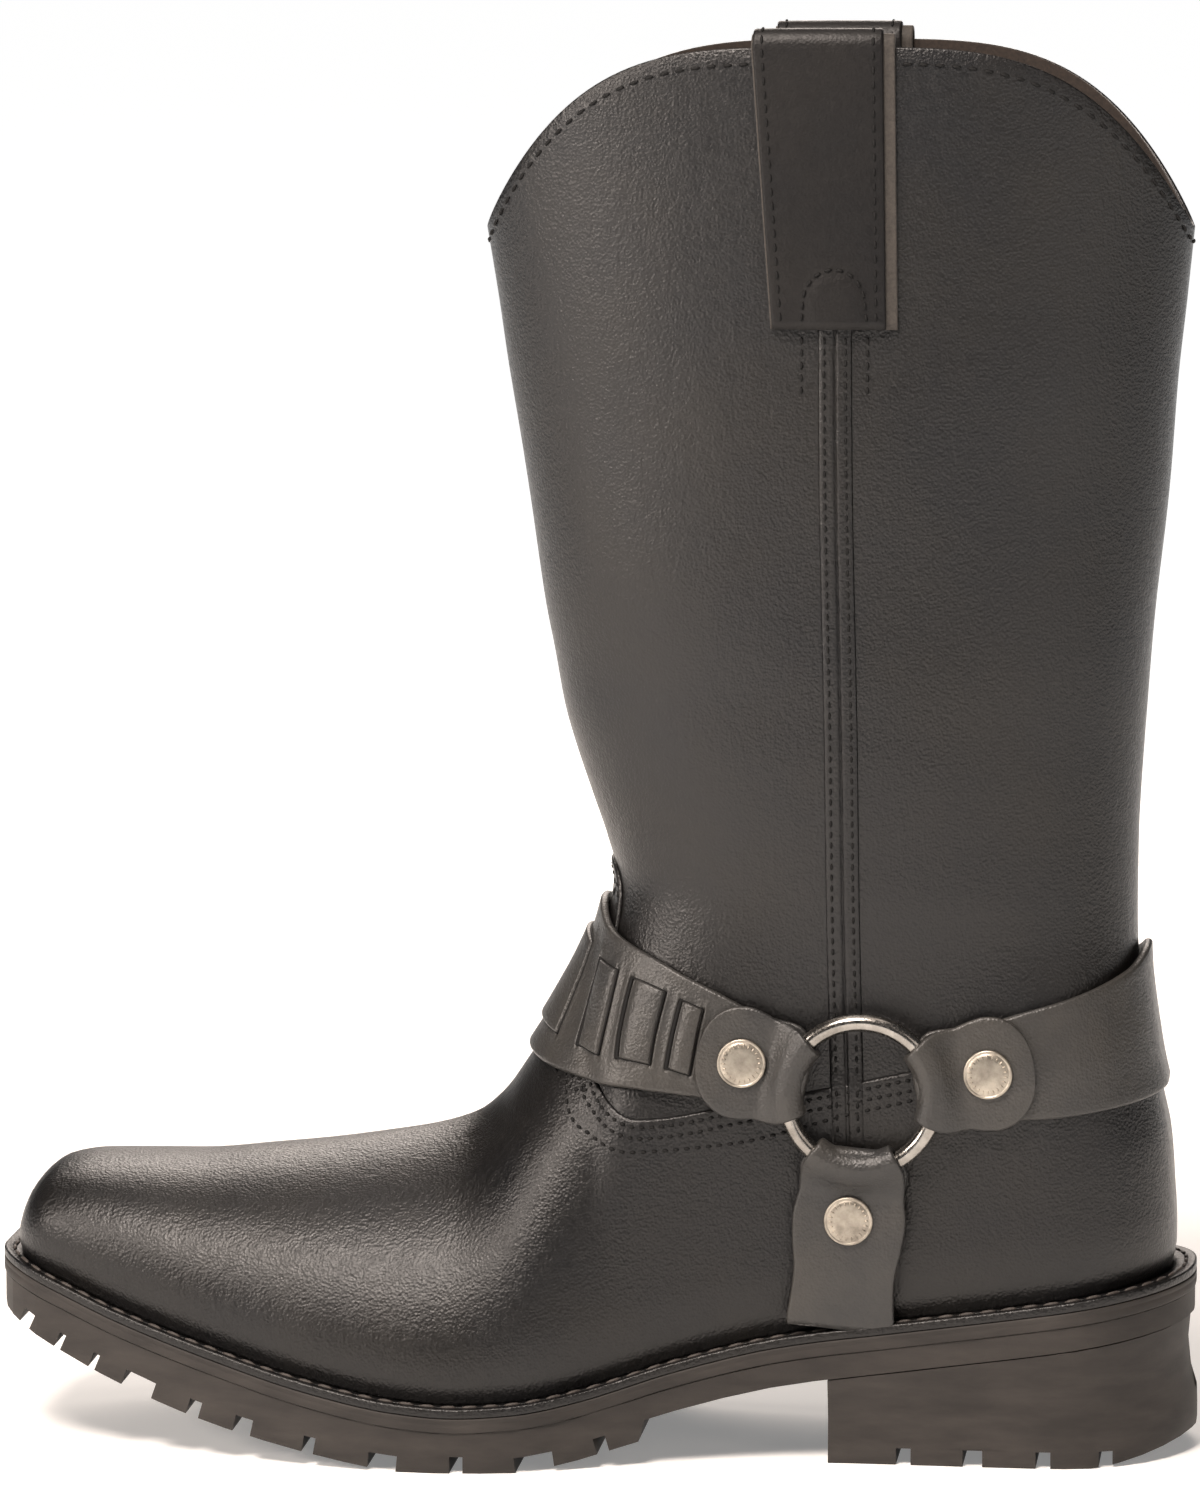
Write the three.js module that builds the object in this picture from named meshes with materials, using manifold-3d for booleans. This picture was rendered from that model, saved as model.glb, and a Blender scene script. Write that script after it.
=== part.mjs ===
// A left harness boot: lugged rubber sole with a block heel, hollow leather upper with a square
// toe, pull straps, and an ankle harness of woven front strap, back strap and keeper on two rings.
// Millimetres. X runs from the toe (minus) to the heel, minus Y is the outer side of the foot, Z is up.
import * as THREE from "three";
import Module from "manifold-3d";

// Sole sizes
const soleLength = 305;
const toeWidth = 54;
const ballWidth = 107;
const waistWidth = 75;
const heelWidth = 76;
const toeCorner = 15;
const heelRound = 35;
const heelRise = 48;
const toeSpring = 33;
const weltThickness = 2.4;
const midsoleThickness = 3.3;
const outsoleThickness = 6;
const lugDepth = 4.2;
const channelWidth = 4;
const heelLength = 91;
const ledge = 5.5;
const weltOverlap = 3.6;
const outsoleInset = 0.4;
const stepRun = 1.5;
const groovePast = 6;
const channelAcross = 0.42;

// Upper sizes
const vampHeight = 60;
const ankleHeight = 98;
const collarHeight = 309;
const collarArch = 45.5;
const shaftWidth = 78;
const vampWall = 2.8;
const shaftWall = 2.2;
const counterSwell = 2.4;
const swellHeight = 18;
const vampStep = 1;
const insoleThickness = 3;

// Harness sizes
const strapThickness = 2;
const strapWidth = 30;
const weaveRise = 1.6;
const tabThickness = 1.8;
const tabRound = 14.2;
const tabEnd = 11;
const tabTail = 8.4;
const drapeRun = 6.6;
const ringRadius = 18.6;
const ringWire = 2.2;
const ringAlong = 0.729;
const ringHeight = 95;
const ringClearance = 0.45;
const ringSpare = 0.5;
const rivetRadius = 6.15;
const rivetRise = 2;
const rivetSeat = 0.55;
const rivetReach = 0.65 * rivetRadius;
const frontRivetOut = 31;
const backRivetOut = 32.2;
const keeperRivetOut = 32;
const keeperLength = 55.5;
const keeperTail = 52.5;
const pullWidth = 34;
const pullThickness = 2.2;
const pullDrop = 69;
const pullLoop = 3;
const pullBelowRim = 0.5;
const seamWidth = 8;
const seamRise = 0.9;
const seamTuck = 1;
const seamPastRing = 4;

// Clearances between pieces
const gap = 0.3;
const seatGap = 0.4;
const insoleClearance = 1;
const drapeGap = 0.55;
const harnessLift = vampStep + drapeGap;
const ringStand = harnessLift + tabThickness + ringClearance + ringWire + ringSpare;

// Divisions of the curved pieces
const aroundUpper = 40;
const alongSole = 40;
const alongHeel = 18;
const alongInsole = 24;
const alongChannel = 12;

// Outline of the sole: stations as shares of the length, half widths of the outer and inner side.
const outlineTable = [
  { along: 0, outer: 0.5 * toeWidth, inner: 0.5 * toeWidth },
  { along: 0.05, outer: 0.62 * toeWidth, inner: 0.6 * toeWidth },
  { along: 0.11, outer: 0.375 * ballWidth, inner: 0.35 * ballWidth },
  { along: 0.2, outer: 0.445 * ballWidth, inner: 0.41 * ballWidth },
  { along: 0.3, outer: 0.51 * ballWidth, inner: 0.455 * ballWidth },
  { along: 0.38, outer: 0.535 * ballWidth, inner: 0.465 * ballWidth },
  { along: 0.45, outer: 0.515 * ballWidth, inner: 0.445 * ballWidth },
  { along: 0.53, outer: 0.61 * waistWidth, inner: 0.54 * waistWidth },
  { along: 0.62, outer: 0.535 * waistWidth, inner: 0.48 * waistWidth },
  { along: 0.72, outer: 0.49 * heelWidth, inner: 0.47 * heelWidth },
  { along: 0.85, outer: 0.5 * heelWidth, inner: 0.5 * heelWidth },
  { along: 1, outer: 0.49 * heelWidth, inner: 0.49 * heelWidth },
];

// Top of the welt as a share of the heel's rise, seen from the side.
const weltTable = [
  { along: 0, top: 0.99 },
  { along: 0.02, top: 0.95 },
  { along: 0.055, top: 0.87 },
  { along: 0.11, top: 0.74 },
  { along: 0.186, top: 0.59 },
  { along: 0.27, top: 0.45 },
  { along: 0.35, top: 0.36 },
  { along: 0.4, top: 0.34 },
  { along: 0.44, top: 0.352 },
  { along: 0.5, top: 0.41 },
  { along: 0.577, top: 0.55 },
  { along: 0.656, top: 0.67 },
  { along: 0.75, top: 0.755 },
  { along: 0.88, top: 0.875 },
  { along: 1, top: 0.99 },
];

// Underside of the forefoot lugs as a share of the toe spring, flat under the ball.
const treadTable = [
  { along: 0, height: 1 },
  { along: 0.044, height: 0.8 },
  { along: 0.1, height: 0.57 },
  { along: 0.156, height: 0.38 },
  { along: 0.195, height: 0.27 },
  { along: 0.25, height: 0.155 },
  { along: 0.305, height: 0.06 },
  { along: 0.35, height: 0 },
  { along: 0.452, height: 0 },
  { along: 0.5, height: 0.075 },
  { along: 0.55, height: 0.2 },
];
const treadEnd = 0.548;
const treadChannel = { from: 0.06, to: 0.536 };
const heelChannel = { from: 0.66, to: 0.935 };

// Grooves between the forefoot lugs, and between the heel lugs: place and width, shares of the length.
const treadGrooves = [
  { along: 0.026, wide: 0.0105 },
  { along: 0.057, wide: 0.006 },
  { along: 0.088, wide: 0.006 },
  { along: 0.128, wide: 0.028 },
  { along: 0.177, wide: 0.011 },
  { along: 0.22, wide: 0.0155 },
  { along: 0.277, wide: 0.01 },
  { along: 0.34, wide: 0.024 },
  { along: 0.402, wide: 0.011 },
  { along: 0.466, wide: 0.031 },
  { along: 0.52, wide: 0.01 },
];
const heelGrooves = [
  { along: 0.764, wide: 0.012 },
  { along: 0.821, wide: 0.016 },
  { along: 0.879, wide: 0.012 },
  { along: 0.93, wide: 0.011 },
];

// Heel block, from its top to the floor: how far its back and its sides stand in from the welt.
const heelTable = [
  { down: 0, back: 0.0045, side: 0.008 },
  { down: 0.25, back: 0.0065, side: 0.03 },
  { down: 0.48, back: 0.004, side: 0.045 },
  { down: 0.68, back: -0.001, side: 0.045 },
  { down: 0.87, back: -0.003, side: 0.04 },
  { down: 1, back: -0.003, side: 0.04 },
];
const heelTip = { from: 0.92, rise: 0.12 };

// Levels of the upper from the welt to the ankle. front and back: where the level meets the front
// and back of the boot, shares of the sole's length. frontUp and backUp: height over the welt,
// shares of the vamp's and the ankle's height. follow: how much the level keeps the welt's curve.
const footLevels = [
  { front: 0.018, frontUp: 0, back: 0.979, backUp: 0, follow: 1 },
  { front: 0.0175, frontUp: 0.07, back: 0.9797, backUp: 0.041, follow: 1 },
  { front: 0.02, frontUp: 0.17, back: 0.9797, backUp: 0.092, follow: 1 },
  { front: 0.029, frontUp: 0.287, back: 0.979, backUp: 0.148, follow: 1 },
  { front: 0.046, frontUp: 0.387, back: 0.9777, backUp: 0.204, follow: 1 },
  { front: 0.0738, frontUp: 0.468, back: 0.9767, backUp: 0.255, follow: 1 },
  { front: 0.116, frontUp: 0.553, back: 0.9754, backUp: 0.306, follow: 1 },
  { front: 0.1656, frontUp: 0.638, back: 0.9734, backUp: 0.357, follow: 1 },
  { front: 0.218, frontUp: 0.742, back: 0.97, backUp: 0.408, follow: 1 },
  { front: 0.2705, frontUp: 0.838, back: 0.9662, backUp: 0.459, follow: 1 },
  { front: 0.3197, frontUp: 0.925, back: 0.9623, backUp: 0.51, follow: 1 },
  { front: 0.3623, frontUp: 0.99, back: 0.959, backUp: 0.561, follow: 1 },
  { front: 0.3967, frontUp: 1.058, back: 0.9564, backUp: 0.612, follow: 0.95 },
  { front: 0.4213, frontUp: 1.158, back: 0.954, backUp: 0.663, follow: 0.88 },
  { front: 0.4426, frontUp: 1.303, back: 0.9518, backUp: 0.714, follow: 0.79 },
  { front: 0.4607, frontUp: 1.433, back: 0.9498, backUp: 0.77, follow: 0.68 },
  { front: 0.4787, frontUp: 1.57, back: 0.9488, backUp: 0.827, follow: 0.56 },
  { front: 0.495, frontUp: 1.708, back: 0.9482, backUp: 0.883, follow: 0.43 },
  { front: 0.5082, frontUp: 1.86, back: 0.948, backUp: 0.939, follow: 0.3 },
  { front: 0.5157, frontUp: 2.033, back: 0.948, backUp: 0.99, follow: 0.18 },
];

// Levels of the shaft from the ankle to the collar. up: share of the height between them.
// arch: how much of the collar's arch the level already has.
const shaftLevels = [
  { front: 0.5072, frontUp: 0.05, back: 0.9485, backUp: 0.07, follow: 0.09, arch: 0 },
  { front: 0.494, frontUp: 0.122, back: 0.95, backUp: 0.138, follow: 0.03, arch: 0 },
  { front: 0.4816, frontUp: 0.192, back: 0.9525, backUp: 0.21, follow: 0, arch: 0.04 },
  { front: 0.4672, frontUp: 0.307, back: 0.9574, backUp: 0.314, follow: 0, arch: 0.12 },
  { front: 0.4541, frontUp: 0.442, back: 0.963, backUp: 0.448, follow: 0, arch: 0.26 },
  { front: 0.441, frontUp: 0.589, back: 0.9695, backUp: 0.589, follow: 0, arch: 0.45 },
  { front: 0.4292, frontUp: 0.736, back: 0.976, backUp: 0.736, follow: 0, arch: 0.66 },
  { front: 0.4167, frontUp: 0.884, back: 0.9833, backUp: 0.884, follow: 0, arch: 0.85 },
  { front: 0.4069, frontUp: 0.994, back: 0.9892, backUp: 1, follow: 0, arch: 1 },
];
const archPower = 3.8;

// Width of the leg part at each of the levels above, from the one where the ankle starts.
const ankleStart = 12;
const legWidths = [
  0.86, 0.865, 0.87, 0.88, 0.89, 0.905, 0.925, 0.945, 0.965, 0.985, 1, 1.01, 1.005, 0.985, 0.955,
  0.91, 0.87,
];
const legRoundness = 2.2;

// Cross-sections of the foot: how full they are, and how far the ridge leans to the inner side.
const ridgeTable = [
  { along: 0, full: 3.6, round: 2.6, lean: 0 },
  { along: 0.1, full: 3, round: 2.4, lean: 0 },
  { along: 0.25, full: 2.3, round: 2, lean: 0.02 },
  { along: 0.4, full: 2, round: 1.8, lean: 0.04 },
  { along: 0.52, full: 2, round: 1.9, lean: 0.015 },
  { along: 0.7, full: 2, round: 2, lean: 0 },
];
const ridgeRun = 9;

// Upper edge of the vamp's leather in the side view: places as shares of length and ankle height.
const vampEdge = [
  { along: 0.49, height: 1.02 },
  { along: 0.515, height: 0.94 },
  { along: 0.55, height: 0.9 },
  { along: 0.61, height: 0.93 },
  { along: 0.7, height: 0.98 },
  { along: 0.8, height: 1.04 },
  { along: 1, height: 1.22 },
];

const tongueTurn = 0.93;

// Ankle straps from the middle, run 0, to the end under a tab, run 1: place along the sole, and the
// height of the top and bottom edge over the ring's centre as shares of the strap's width.
const frontStrapTable = [
  { run: 0, along: 0.49, top: 1.45, bottom: 0.12 },
  { run: 0.49, along: 0.533, top: 1.18, bottom: 0 },
  { run: 0.62, along: 0.559, top: 1.06, bottom: -0.02 },
  { run: 0.74, along: 0.585, top: 0.93, bottom: -0.045 },
  { run: 0.87, along: 0.611, top: 0.815, bottom: -0.07 },
  { run: 1, along: 0.634, top: 0.7, bottom: -0.115 },
];
const backStrapTable = [
  { run: 0, along: 0.96, top: 1.13, bottom: -0.08 },
  { run: 0.3, along: 0.936, top: 0.97, bottom: -0.13 },
  { run: 0.6, along: 0.893, top: 0.78, bottom: -0.18 },
  { run: 0.85, along: 0.854, top: 0.67, bottom: -0.2 },
  { run: 1, along: 0.833, top: 0.6, bottom: -0.2 },
];

// Raised parts of the narrow strip that is woven through the front strap, by its run.
const weaveBlocks = [
  { from: 0, to: 0.237 },
  { from: 0.355, to: 0.47 },
  { from: 0.528, to: 0.643 },
  { from: 0.7, to: 0.785 },
];
const weaveEdge = 0.008;
const weaveLean = 0.1;

// Tabs round the ring: direction from the ring's centre, distance of the rivet, and half widths as
// shares of the tab's round end, by the distance from the ring's centre. foot: it runs to the welt.
const tabs = {
  front_tab: {
    angle: 2.9,
    rivet: frontRivetOut,
    widths: [
      { at: ringRadius, half: 0.74 },
      { at: 0.775 * frontRivetOut, half: 0.8 },
      { at: frontRivetOut, half: 1 },
    ],
  },
  back_tab: {
    angle: 0.175,
    rivet: backRivetOut,
    widths: [
      { at: ringRadius, half: 0.76 },
      { at: 0.745 * backRivetOut, half: 0.82 },
      { at: backRivetOut, half: 1 },
    ],
  },
  keeper: {
    angle: -1.665,
    rivet: keeperRivetOut,
    length: keeperLength,
    foot: true,
    widths: [
      { at: ringRadius, half: 0.74 },
      { at: 0.43 * keeperLength, half: 0.86 },
      { at: keeperRivetOut, half: 1 },
      { at: 0.685 * keeperLength, half: 0.94 },
      { at: 0.81 * keeperLength, half: 0.84 },
      { at: keeperLength, half: 0.96 },
    ],
  },
};

// Half section of a rivet's domed cap.
const rivetTable = [
  { out: 1, up: 0 },
  { out: 1, up: 0.3 },
  { out: 0.88, up: 0.72 },
  { out: 0.5, up: 0.95 },
];

// How full the tabs' round ends are, and where the pull straps and side seams stand along the sole.
const roundEndPower = 0.8;
const pullTop = 0.693;
const pullFoot = 0.704;
const seamFoot = 0.714;

const wasm = await Module();
wasm.setup();

const clamp = THREE.MathUtils.clamp;
const lerp = THREE.MathUtils.lerp;
const vec = (x, y, z) => new THREE.Vector3(x, y, z);
const toX = (along) => (along - 0.5) * soleLength;
const toAlong = (x) => x / soleLength + 0.5;
const ringX = toX(ringAlong);

// A smooth function through a table's column that never overshoots its rows.
function curve(table, column, key = "along") {
  const at = table.map((row) => row[key]);
  const to = table.map((row) => row[column]);
  const steps = at.slice(1).map((a, i) => (to[i + 1] - to[i]) / (a - at[i]));
  const slopes = at.map((a, i) => {
    if (i === 0 || i === at.length - 1) return steps[Math.min(i, steps.length - 1)];
    if (steps[i - 1] * steps[i] <= 0) return 0;
    return (2 * steps[i - 1] * steps[i]) / (steps[i - 1] + steps[i]);
  });
  return (value) => {
    const v = clamp(value, at[0], at.at(-1));
    const past = at.findIndex((a) => a > v);
    const k = past < 0 ? at.length - 2 : Math.max(past - 1, 0);
    const h = at[k + 1] - at[k];
    const t = (v - at[k]) / h;
    const start = (1 + 2 * t) * (1 - t) ** 2 * to[k] + t * (1 - t) ** 2 * h * slopes[k];
    return start + t * t * (3 - 2 * t) * to[k + 1] + t * t * (t - 1) * h * slopes[k + 1];
  };
}

// Sole surfaces
const outerHalf = curve(outlineTable, "outer");
const innerHalf = curve(outlineTable, "inner");
const weltShare = curve(weltTable, "top");
const treadShare = curve(treadTable, "height");
const weltTop = (x) => heelRise * weltShare(toAlong(x));
const layersBelowWelt = weltThickness + midsoleThickness + outsoleThickness + 2 * gap;
const plateUnder = (x) => weltTop(x) - layersBelowWelt;
const treadUnder = (x) => toeSpring * treadShare(toAlong(x));
const breastX = soleLength / 2 - heelLength;

// How much a corner of this radius takes off the half width at a distance from the end.
function cornerLoss(distance, radius) {
  if (distance >= radius) return 0;
  return radius - Math.sqrt(radius ** 2 - (radius - Math.max(distance, 0)) ** 2);
}

// Half width of the sole's outline, drawn in by an inset; side is -1 for outer, 1 for inner.
function halfWidth(x, side, inset, fromToe, fromHeel) {
  const table = side < 0 ? outerHalf(toAlong(x)) : innerHalf(toAlong(x));
  const toe = cornerLoss(fromToe, Math.max(toeCorner - inset, 1));
  const heel = cornerLoss(fromHeel, Math.max(Math.min(heelRound, table - 1) - inset, 1));
  return table - inset - toe - heel;
}

// Stations along the sole, closer together at the rounded toe and heel.
function stations(from, to, count, roundStart, roundEnd) {
  const list = [];
  for (let i = 0; i <= count; i += 1) {
    const t = i / count;
    const eased = (1 - Math.cos(Math.PI * t)) / 2;
    const start = roundStart ? eased : t;
    const end = roundEnd ? eased : t;
    list.push(lerp(from, to, lerp(start, end, t)));
  }
  return list;
}

// One closed outline at a height that may follow the sole's curve.
function outlineRing(xs, inset, height, sideInset = inset) {
  const toeX = -soleLength / 2;
  const heelX = soleLength / 2;
  const edge = (side) =>
    xs.map((share) => {
      const x = clamp(share, toeX + inset, heelX - inset);
      const half = halfWidth(x, side, inset, x - toeX - inset, heelX - inset - x);
      return vec(x, side * (half - (sideInset - inset)), height(x));
    });
  return [...edge(-1), ...edge(1).reverse()];
}

// A closed body through rings of points; looped joins the last ring to the first.
function loft(rings, looped = false) {
  const count = rings[0].length;
  const points = rings.flat();
  const faces = [];
  const quad = (a, b, c, d) => faces.push(a, b, c, a, c, d);
  const spans = looped ? rings.length : rings.length - 1;
  for (let i = 0; i < spans; i += 1) {
    const next = ((i + 1) % rings.length) * count;
    for (let j = 0; j < count; j += 1) {
      const k = (j + 1) % count;
      quad(i * count + j, i * count + k, next + k, next + j);
    }
  }
  if (!looped) {
    const last = (rings.length - 1) * count;
    for (let j = 0; j < count / 2 - 1; j += 1) {
      const k = count - 1 - j;
      quad(j, k, k - 1, j + 1);
      quad(last + j, last + j + 1, last + k - 1, last + k);
    }
  }
  let volume = 0;
  for (let i = 0; i < faces.length; i += 3) {
    const [a, b, c] = [points[faces[i]], points[faces[i + 1]], points[faces[i + 2]]];
    volume += a.dot(vec(0, 0, 0).crossVectors(b, c));
  }
  if (volume < 0) faces.reverse();
  const geometry = new THREE.BufferGeometry().setFromPoints(points);
  geometry.setIndex(faces);
  return geometry;
}

function toSolid(geometry) {
  const vertProperties = new Float32Array(geometry.getAttribute("position").array);
  const triVerts = new Uint32Array(geometry.index.array);
  return new wasm.Manifold(new wasm.Mesh({ numProp: 3, vertProperties, triVerts }));
}

function toGeometry(solid) {
  const mesh = solid.getMesh();
  const geometry = new THREE.BufferGeometry();
  geometry.setAttribute("position", new THREE.BufferAttribute(mesh.vertProperties, 3));
  geometry.setIndex(new THREE.BufferAttribute(mesh.triVerts, 1));
  return geometry;
}

const boot = new THREE.Group();

const finishes = {
  leather: { color: 0x1b1a1c, roughness: 0.42, metalness: 0 },
  strapLeather: { color: 0x17171a, roughness: 0.45, metalness: 0 },
  rubber: { color: 0x2b2927, roughness: 0.8, metalness: 0 },
  board: { color: 0x4a3b30, roughness: 0.9, metalness: 0 },
  nickel: { color: 0xb9b2a6, roughness: 0.3, metalness: 1 },
};

function add(name, finish, geometry) {
  geometry.computeVertexNormals();
  const mesh = new THREE.Mesh(geometry, new THREE.MeshStandardMaterial(finishes[finish]));
  mesh.name = name;
  boot.add(mesh);
}

// Welt, midsole and insole
const soleXs = stations(-soleLength / 2, soleLength / 2, alongSole, true, true);
const weltInner = ledge + weltOverlap;
const belowWelt = (drop) => (x) => weltTop(x) - drop;

function makeWelt() {
  const under = belowWelt(weltThickness);
  const rings = [
    outlineRing(soleXs, 0, weltTop),
    outlineRing(soleXs, 0, under),
    outlineRing(soleXs, weltInner, under),
    outlineRing(soleXs, weltInner, weltTop),
  ];
  add("welt", "leather", loft(rings, true));
}

function makeMidsole() {
  const top = belowWelt(weltThickness + gap);
  const under = belowWelt(weltThickness + gap + midsoleThickness);
  add("midsole", "rubber", loft([outlineRing(soleXs, 0, top), outlineRing(soleXs, 0, under)]));
}

function makeInsole() {
  const inset = weltInner + insoleClearance;
  const under = belowWelt(weltThickness);
  const top = (x) => under(x) + weltThickness + insoleThickness;
  const xs = stations(-soleLength / 2 + inset, soleLength / 2 - inset, alongInsole, true, true);
  add("insole", "board", loft([outlineRing(xs, inset, top), outlineRing(xs, inset, under)]));
}

// A straight-sided cutter across the sole, turned to the slope of the surface that it cuts.
function crossGroove(groove, surface, depth) {
  const x = toX(groove.along);
  const slope = Math.atan2(surface(x + 1) - surface(x - 1), 2);
  const height = depth + groovePast;
  const box = new THREE.BoxGeometry(groove.wide * soleLength, 2 * ballWidth, height);
  box.translate(0, 0, depth - height / 2);
  box.rotateY(-slope);
  box.translate(x, 0, surface(x));
  return box;
}

// A channel along the sole at a share of its half width.
function longChannel(channel, side, share, surface) {
  const xs = stations(toX(channel.from), toX(channel.to), alongChannel, false, false);
  const rings = xs.map((x) => {
    const middle = side * share * (side < 0 ? outerHalf(toAlong(x)) : innerHalf(toAlong(x)));
    const [low, high] = [surface(x) - groovePast, surface(x) + lugDepth];
    const [left, right] = [middle - channelWidth / 2, middle + channelWidth / 2];
    return [vec(x, left, low), vec(x, right, low), vec(x, right, high), vec(x, left, high)];
  });
  return loft(rings);
}

function boxSolid(geometry) {
  const seen = new Map();
  const points = [];
  const position = geometry.getAttribute("position");
  const index = [];
  for (let i = 0; i < geometry.index.count; i += 1) {
    const at = geometry.index.getX(i);
    const p = vec(position.getX(at), position.getY(at), position.getZ(at));
    const key = [p.x, p.y, p.z].map((value) => value.toFixed(4)).join();
    if (!seen.has(key)) seen.set(key, points.push(p) - 1);
    index.push(seen.get(key));
  }
  const clean = new THREE.BufferGeometry().setFromPoints(points);
  clean.setIndex(index);
  return toSolid(clean);
}

function makeOutsole() {
  const stepX = toX(treadEnd);
  const front = soleXs.filter((x) => x < stepX - stepRun);
  const rear = soleXs.filter((x) => x > stepX + 2 * stepRun);
  const xs = [...front, stepX, stepX + stepRun, ...rear];
  const under = (x) => (x <= stepX ? treadUnder(x) : plateUnder(x));
  const top = belowWelt(weltThickness + midsoleThickness + 2 * gap);
  const rings = [outlineRing(xs, outsoleInset, top), outlineRing(xs, outsoleInset, under)];
  let solid = toSolid(loft(rings));
  for (const groove of treadGrooves) {
    solid = solid.subtract(boxSolid(crossGroove(groove, treadUnder, lugDepth)));
  }
  for (const side of [-1, 1]) {
    const channel = longChannel(treadChannel, side, channelAcross, treadUnder);
    solid = solid.subtract(toSolid(channel));
  }
  add("outsole", "rubber", toGeometry(solid));
}

function makeHeel() {
  const xs = stations(breastX, soleLength / 2 + outsoleInset, alongHeel, false, true);
  const floor = (x) => {
    const past = Math.max(toAlong(x) - heelTip.from, 0) / (1 - heelTip.from);
    return heelTip.rise * heelRise * past ** 1.3;
  };
  const rings = heelTable.map((row) => {
    const height = (x) => lerp(plateUnder(x) - gap, floor(x), row.down);
    return outlineRing(xs, row.back * soleLength, height, row.side * heelWidth);
  });
  let solid = toSolid(loft(rings));
  for (const groove of heelGrooves) {
    solid = solid.subtract(boxSolid(crossGroove(groove, () => 0, lugDepth)));
  }
  solid = solid.subtract(toSolid(longChannel(heelChannel, 1, 0, () => 0)));
  add("heel", "rubber", toGeometry(solid));
}

// The upper's surface: levels run from the welt to the collar, turns run round the boot.
const seat = (x) => weltTop(x) + seatGap;
const ankleTop = seat(soleLength / 2) + ankleHeight;
const levels = [
  ...footLevels.map((row) => {
    const [front, back] = [toX(row.front), toX(row.back)];
    const frontZ = seat(front) + row.frontUp * vampHeight;
    const backZ = seat(back) + row.backUp * ankleHeight;
    return { front, back, frontZ, backZ, follow: row.follow, arch: 0 };
  }),
  ...shaftLevels.map((row) => {
    const [front, back] = [toX(row.front), toX(row.back)];
    const frontZ = lerp(ankleTop, collarHeight, row.frontUp);
    const backZ = lerp(ankleTop, collarHeight, row.backUp);
    return { front, back, frontZ, backZ, follow: row.follow, arch: row.arch };
  }),
];
levels.forEach((level, i) => {
  level.level = i;
  level.wide = (shaftWidth / 2) * (legWidths[Math.max(i - ankleStart, 0)] ?? legWidths.at(-1));
});
const topLevel = levels.length - 1;
const byLevel = {};
for (const column of ["front", "back", "frontZ", "backZ", "follow", "arch", "wide"]) {
  byLevel[column] = curve(levels, column, "level");
}
const ridgeZ = curve(levels.slice(1, footLevels.length), "frontZ", "front");
const throatX = levels[footLevels.length - 1].front;
const ridgeFull = curve(ridgeTable, "full");
const ridgeRound = curve(ridgeTable, "round");
const ridgeLean = curve(ridgeTable, "lean");
const smooth = (value, from, to) => THREE.MathUtils.smoothstep(value, from, to);
const vampTopEdge = curve(vampEdge, "height");

// Height of a level at a share of the way from its front to its back.
function levelHeight(level, share, turn) {
  const [front, back] = [byLevel.front(level), byLevel.back(level)];
  const follow = byLevel.follow(level);
  const frontUp = byLevel.frontZ(level) - follow * seat(front);
  const backUp = byLevel.backZ(level) - follow * seat(back);
  const arch = byLevel.arch(level) * collarArch * (1 - Math.abs(Math.cos(turn)) ** archPower);
  return lerp(frontUp, backUp, share) + follow * seat(lerp(front, back, share)) + arch;
}

// Half width of the foot at a place, narrowing to nothing at the ridge of the vamp.
function footHalf(x, z, side, fromHeel) {
  const rise = z - seat(x);
  const swell = counterSwell * (1 - (1 - clamp(rise / swellHeight, 0, 1)) ** 2);
  const fromToe = x - levels[0].front;
  const plan = halfWidth(x, side, ledge, fromToe, fromHeel) + swell;
  const ridge = x < throatX ? ridgeZ(x) : ridgeZ(throatX) + (x - throatX) * ridgeRun;
  const up = clamp(rise / (ridge - seat(x)), 0, 1);
  const narrow = (1 - up ** ridgeFull(toAlong(x))) ** (1 / ridgeRound(toAlong(x)));
  const middle = ridgeLean(toAlong(x)) * ballWidth;
  return side * lerp(side * middle, plan, narrow);
}

// A point on the outside of the upper at a level and a turn from the front; minus is the outer side.
function upperPoint(level, turn) {
  const share = (1 - Math.cos(turn)) / 2;
  const side = Math.sin(turn) < 0 ? -1 : 1;
  const [front, back] = [byLevel.front(level), byLevel.back(level)];
  const x = lerp(front, back, share);
  const z = levelHeight(level, share, turn);
  const leg = smooth(level, ankleStart - 1, footLevels.length + 1);
  const oval = (1 - Math.abs(Math.cos(turn)) ** legRoundness) ** (1 / legRoundness);
  const onAxis = Math.abs(Math.sin(turn)) < 1e-6;
  const foot = onAxis ? 0 : footHalf(x, z, side, back - x);
  const middle = onAxis ? ridgeLean(toAlong(x)) * ballWidth * (share < 0.5 ? 1 : 0) : foot;
  return vec(x, lerp(middle, side * byLevel.wide(level) * oval, leg), z);
}

function upperNormal(level, turn) {
  const step = 0.02;
  const around = upperPoint(level, turn + step).sub(upperPoint(level, turn - step));
  const [low, high] = [Math.max(level - 0.2, 0), Math.min(level + 0.2, topLevel)];
  const up = upperPoint(high, turn).sub(upperPoint(low, turn));
  return up.cross(around).normalize();
}

// How far the vamp's leather lifts the outside here, over the shaft's leather.
function vampLift(point, level, turn) {
  const edge = ankleTop + (vampTopEdge(toAlong(point.x)) - 1.5) * ankleHeight;
  const tongue = Math.cos(turn) > tongueTurn && level < footLevels.length - 1;
  return vampStep * (tongue ? 1 : 1 - smooth(point.z, edge - 1, edge + 1));
}

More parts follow.
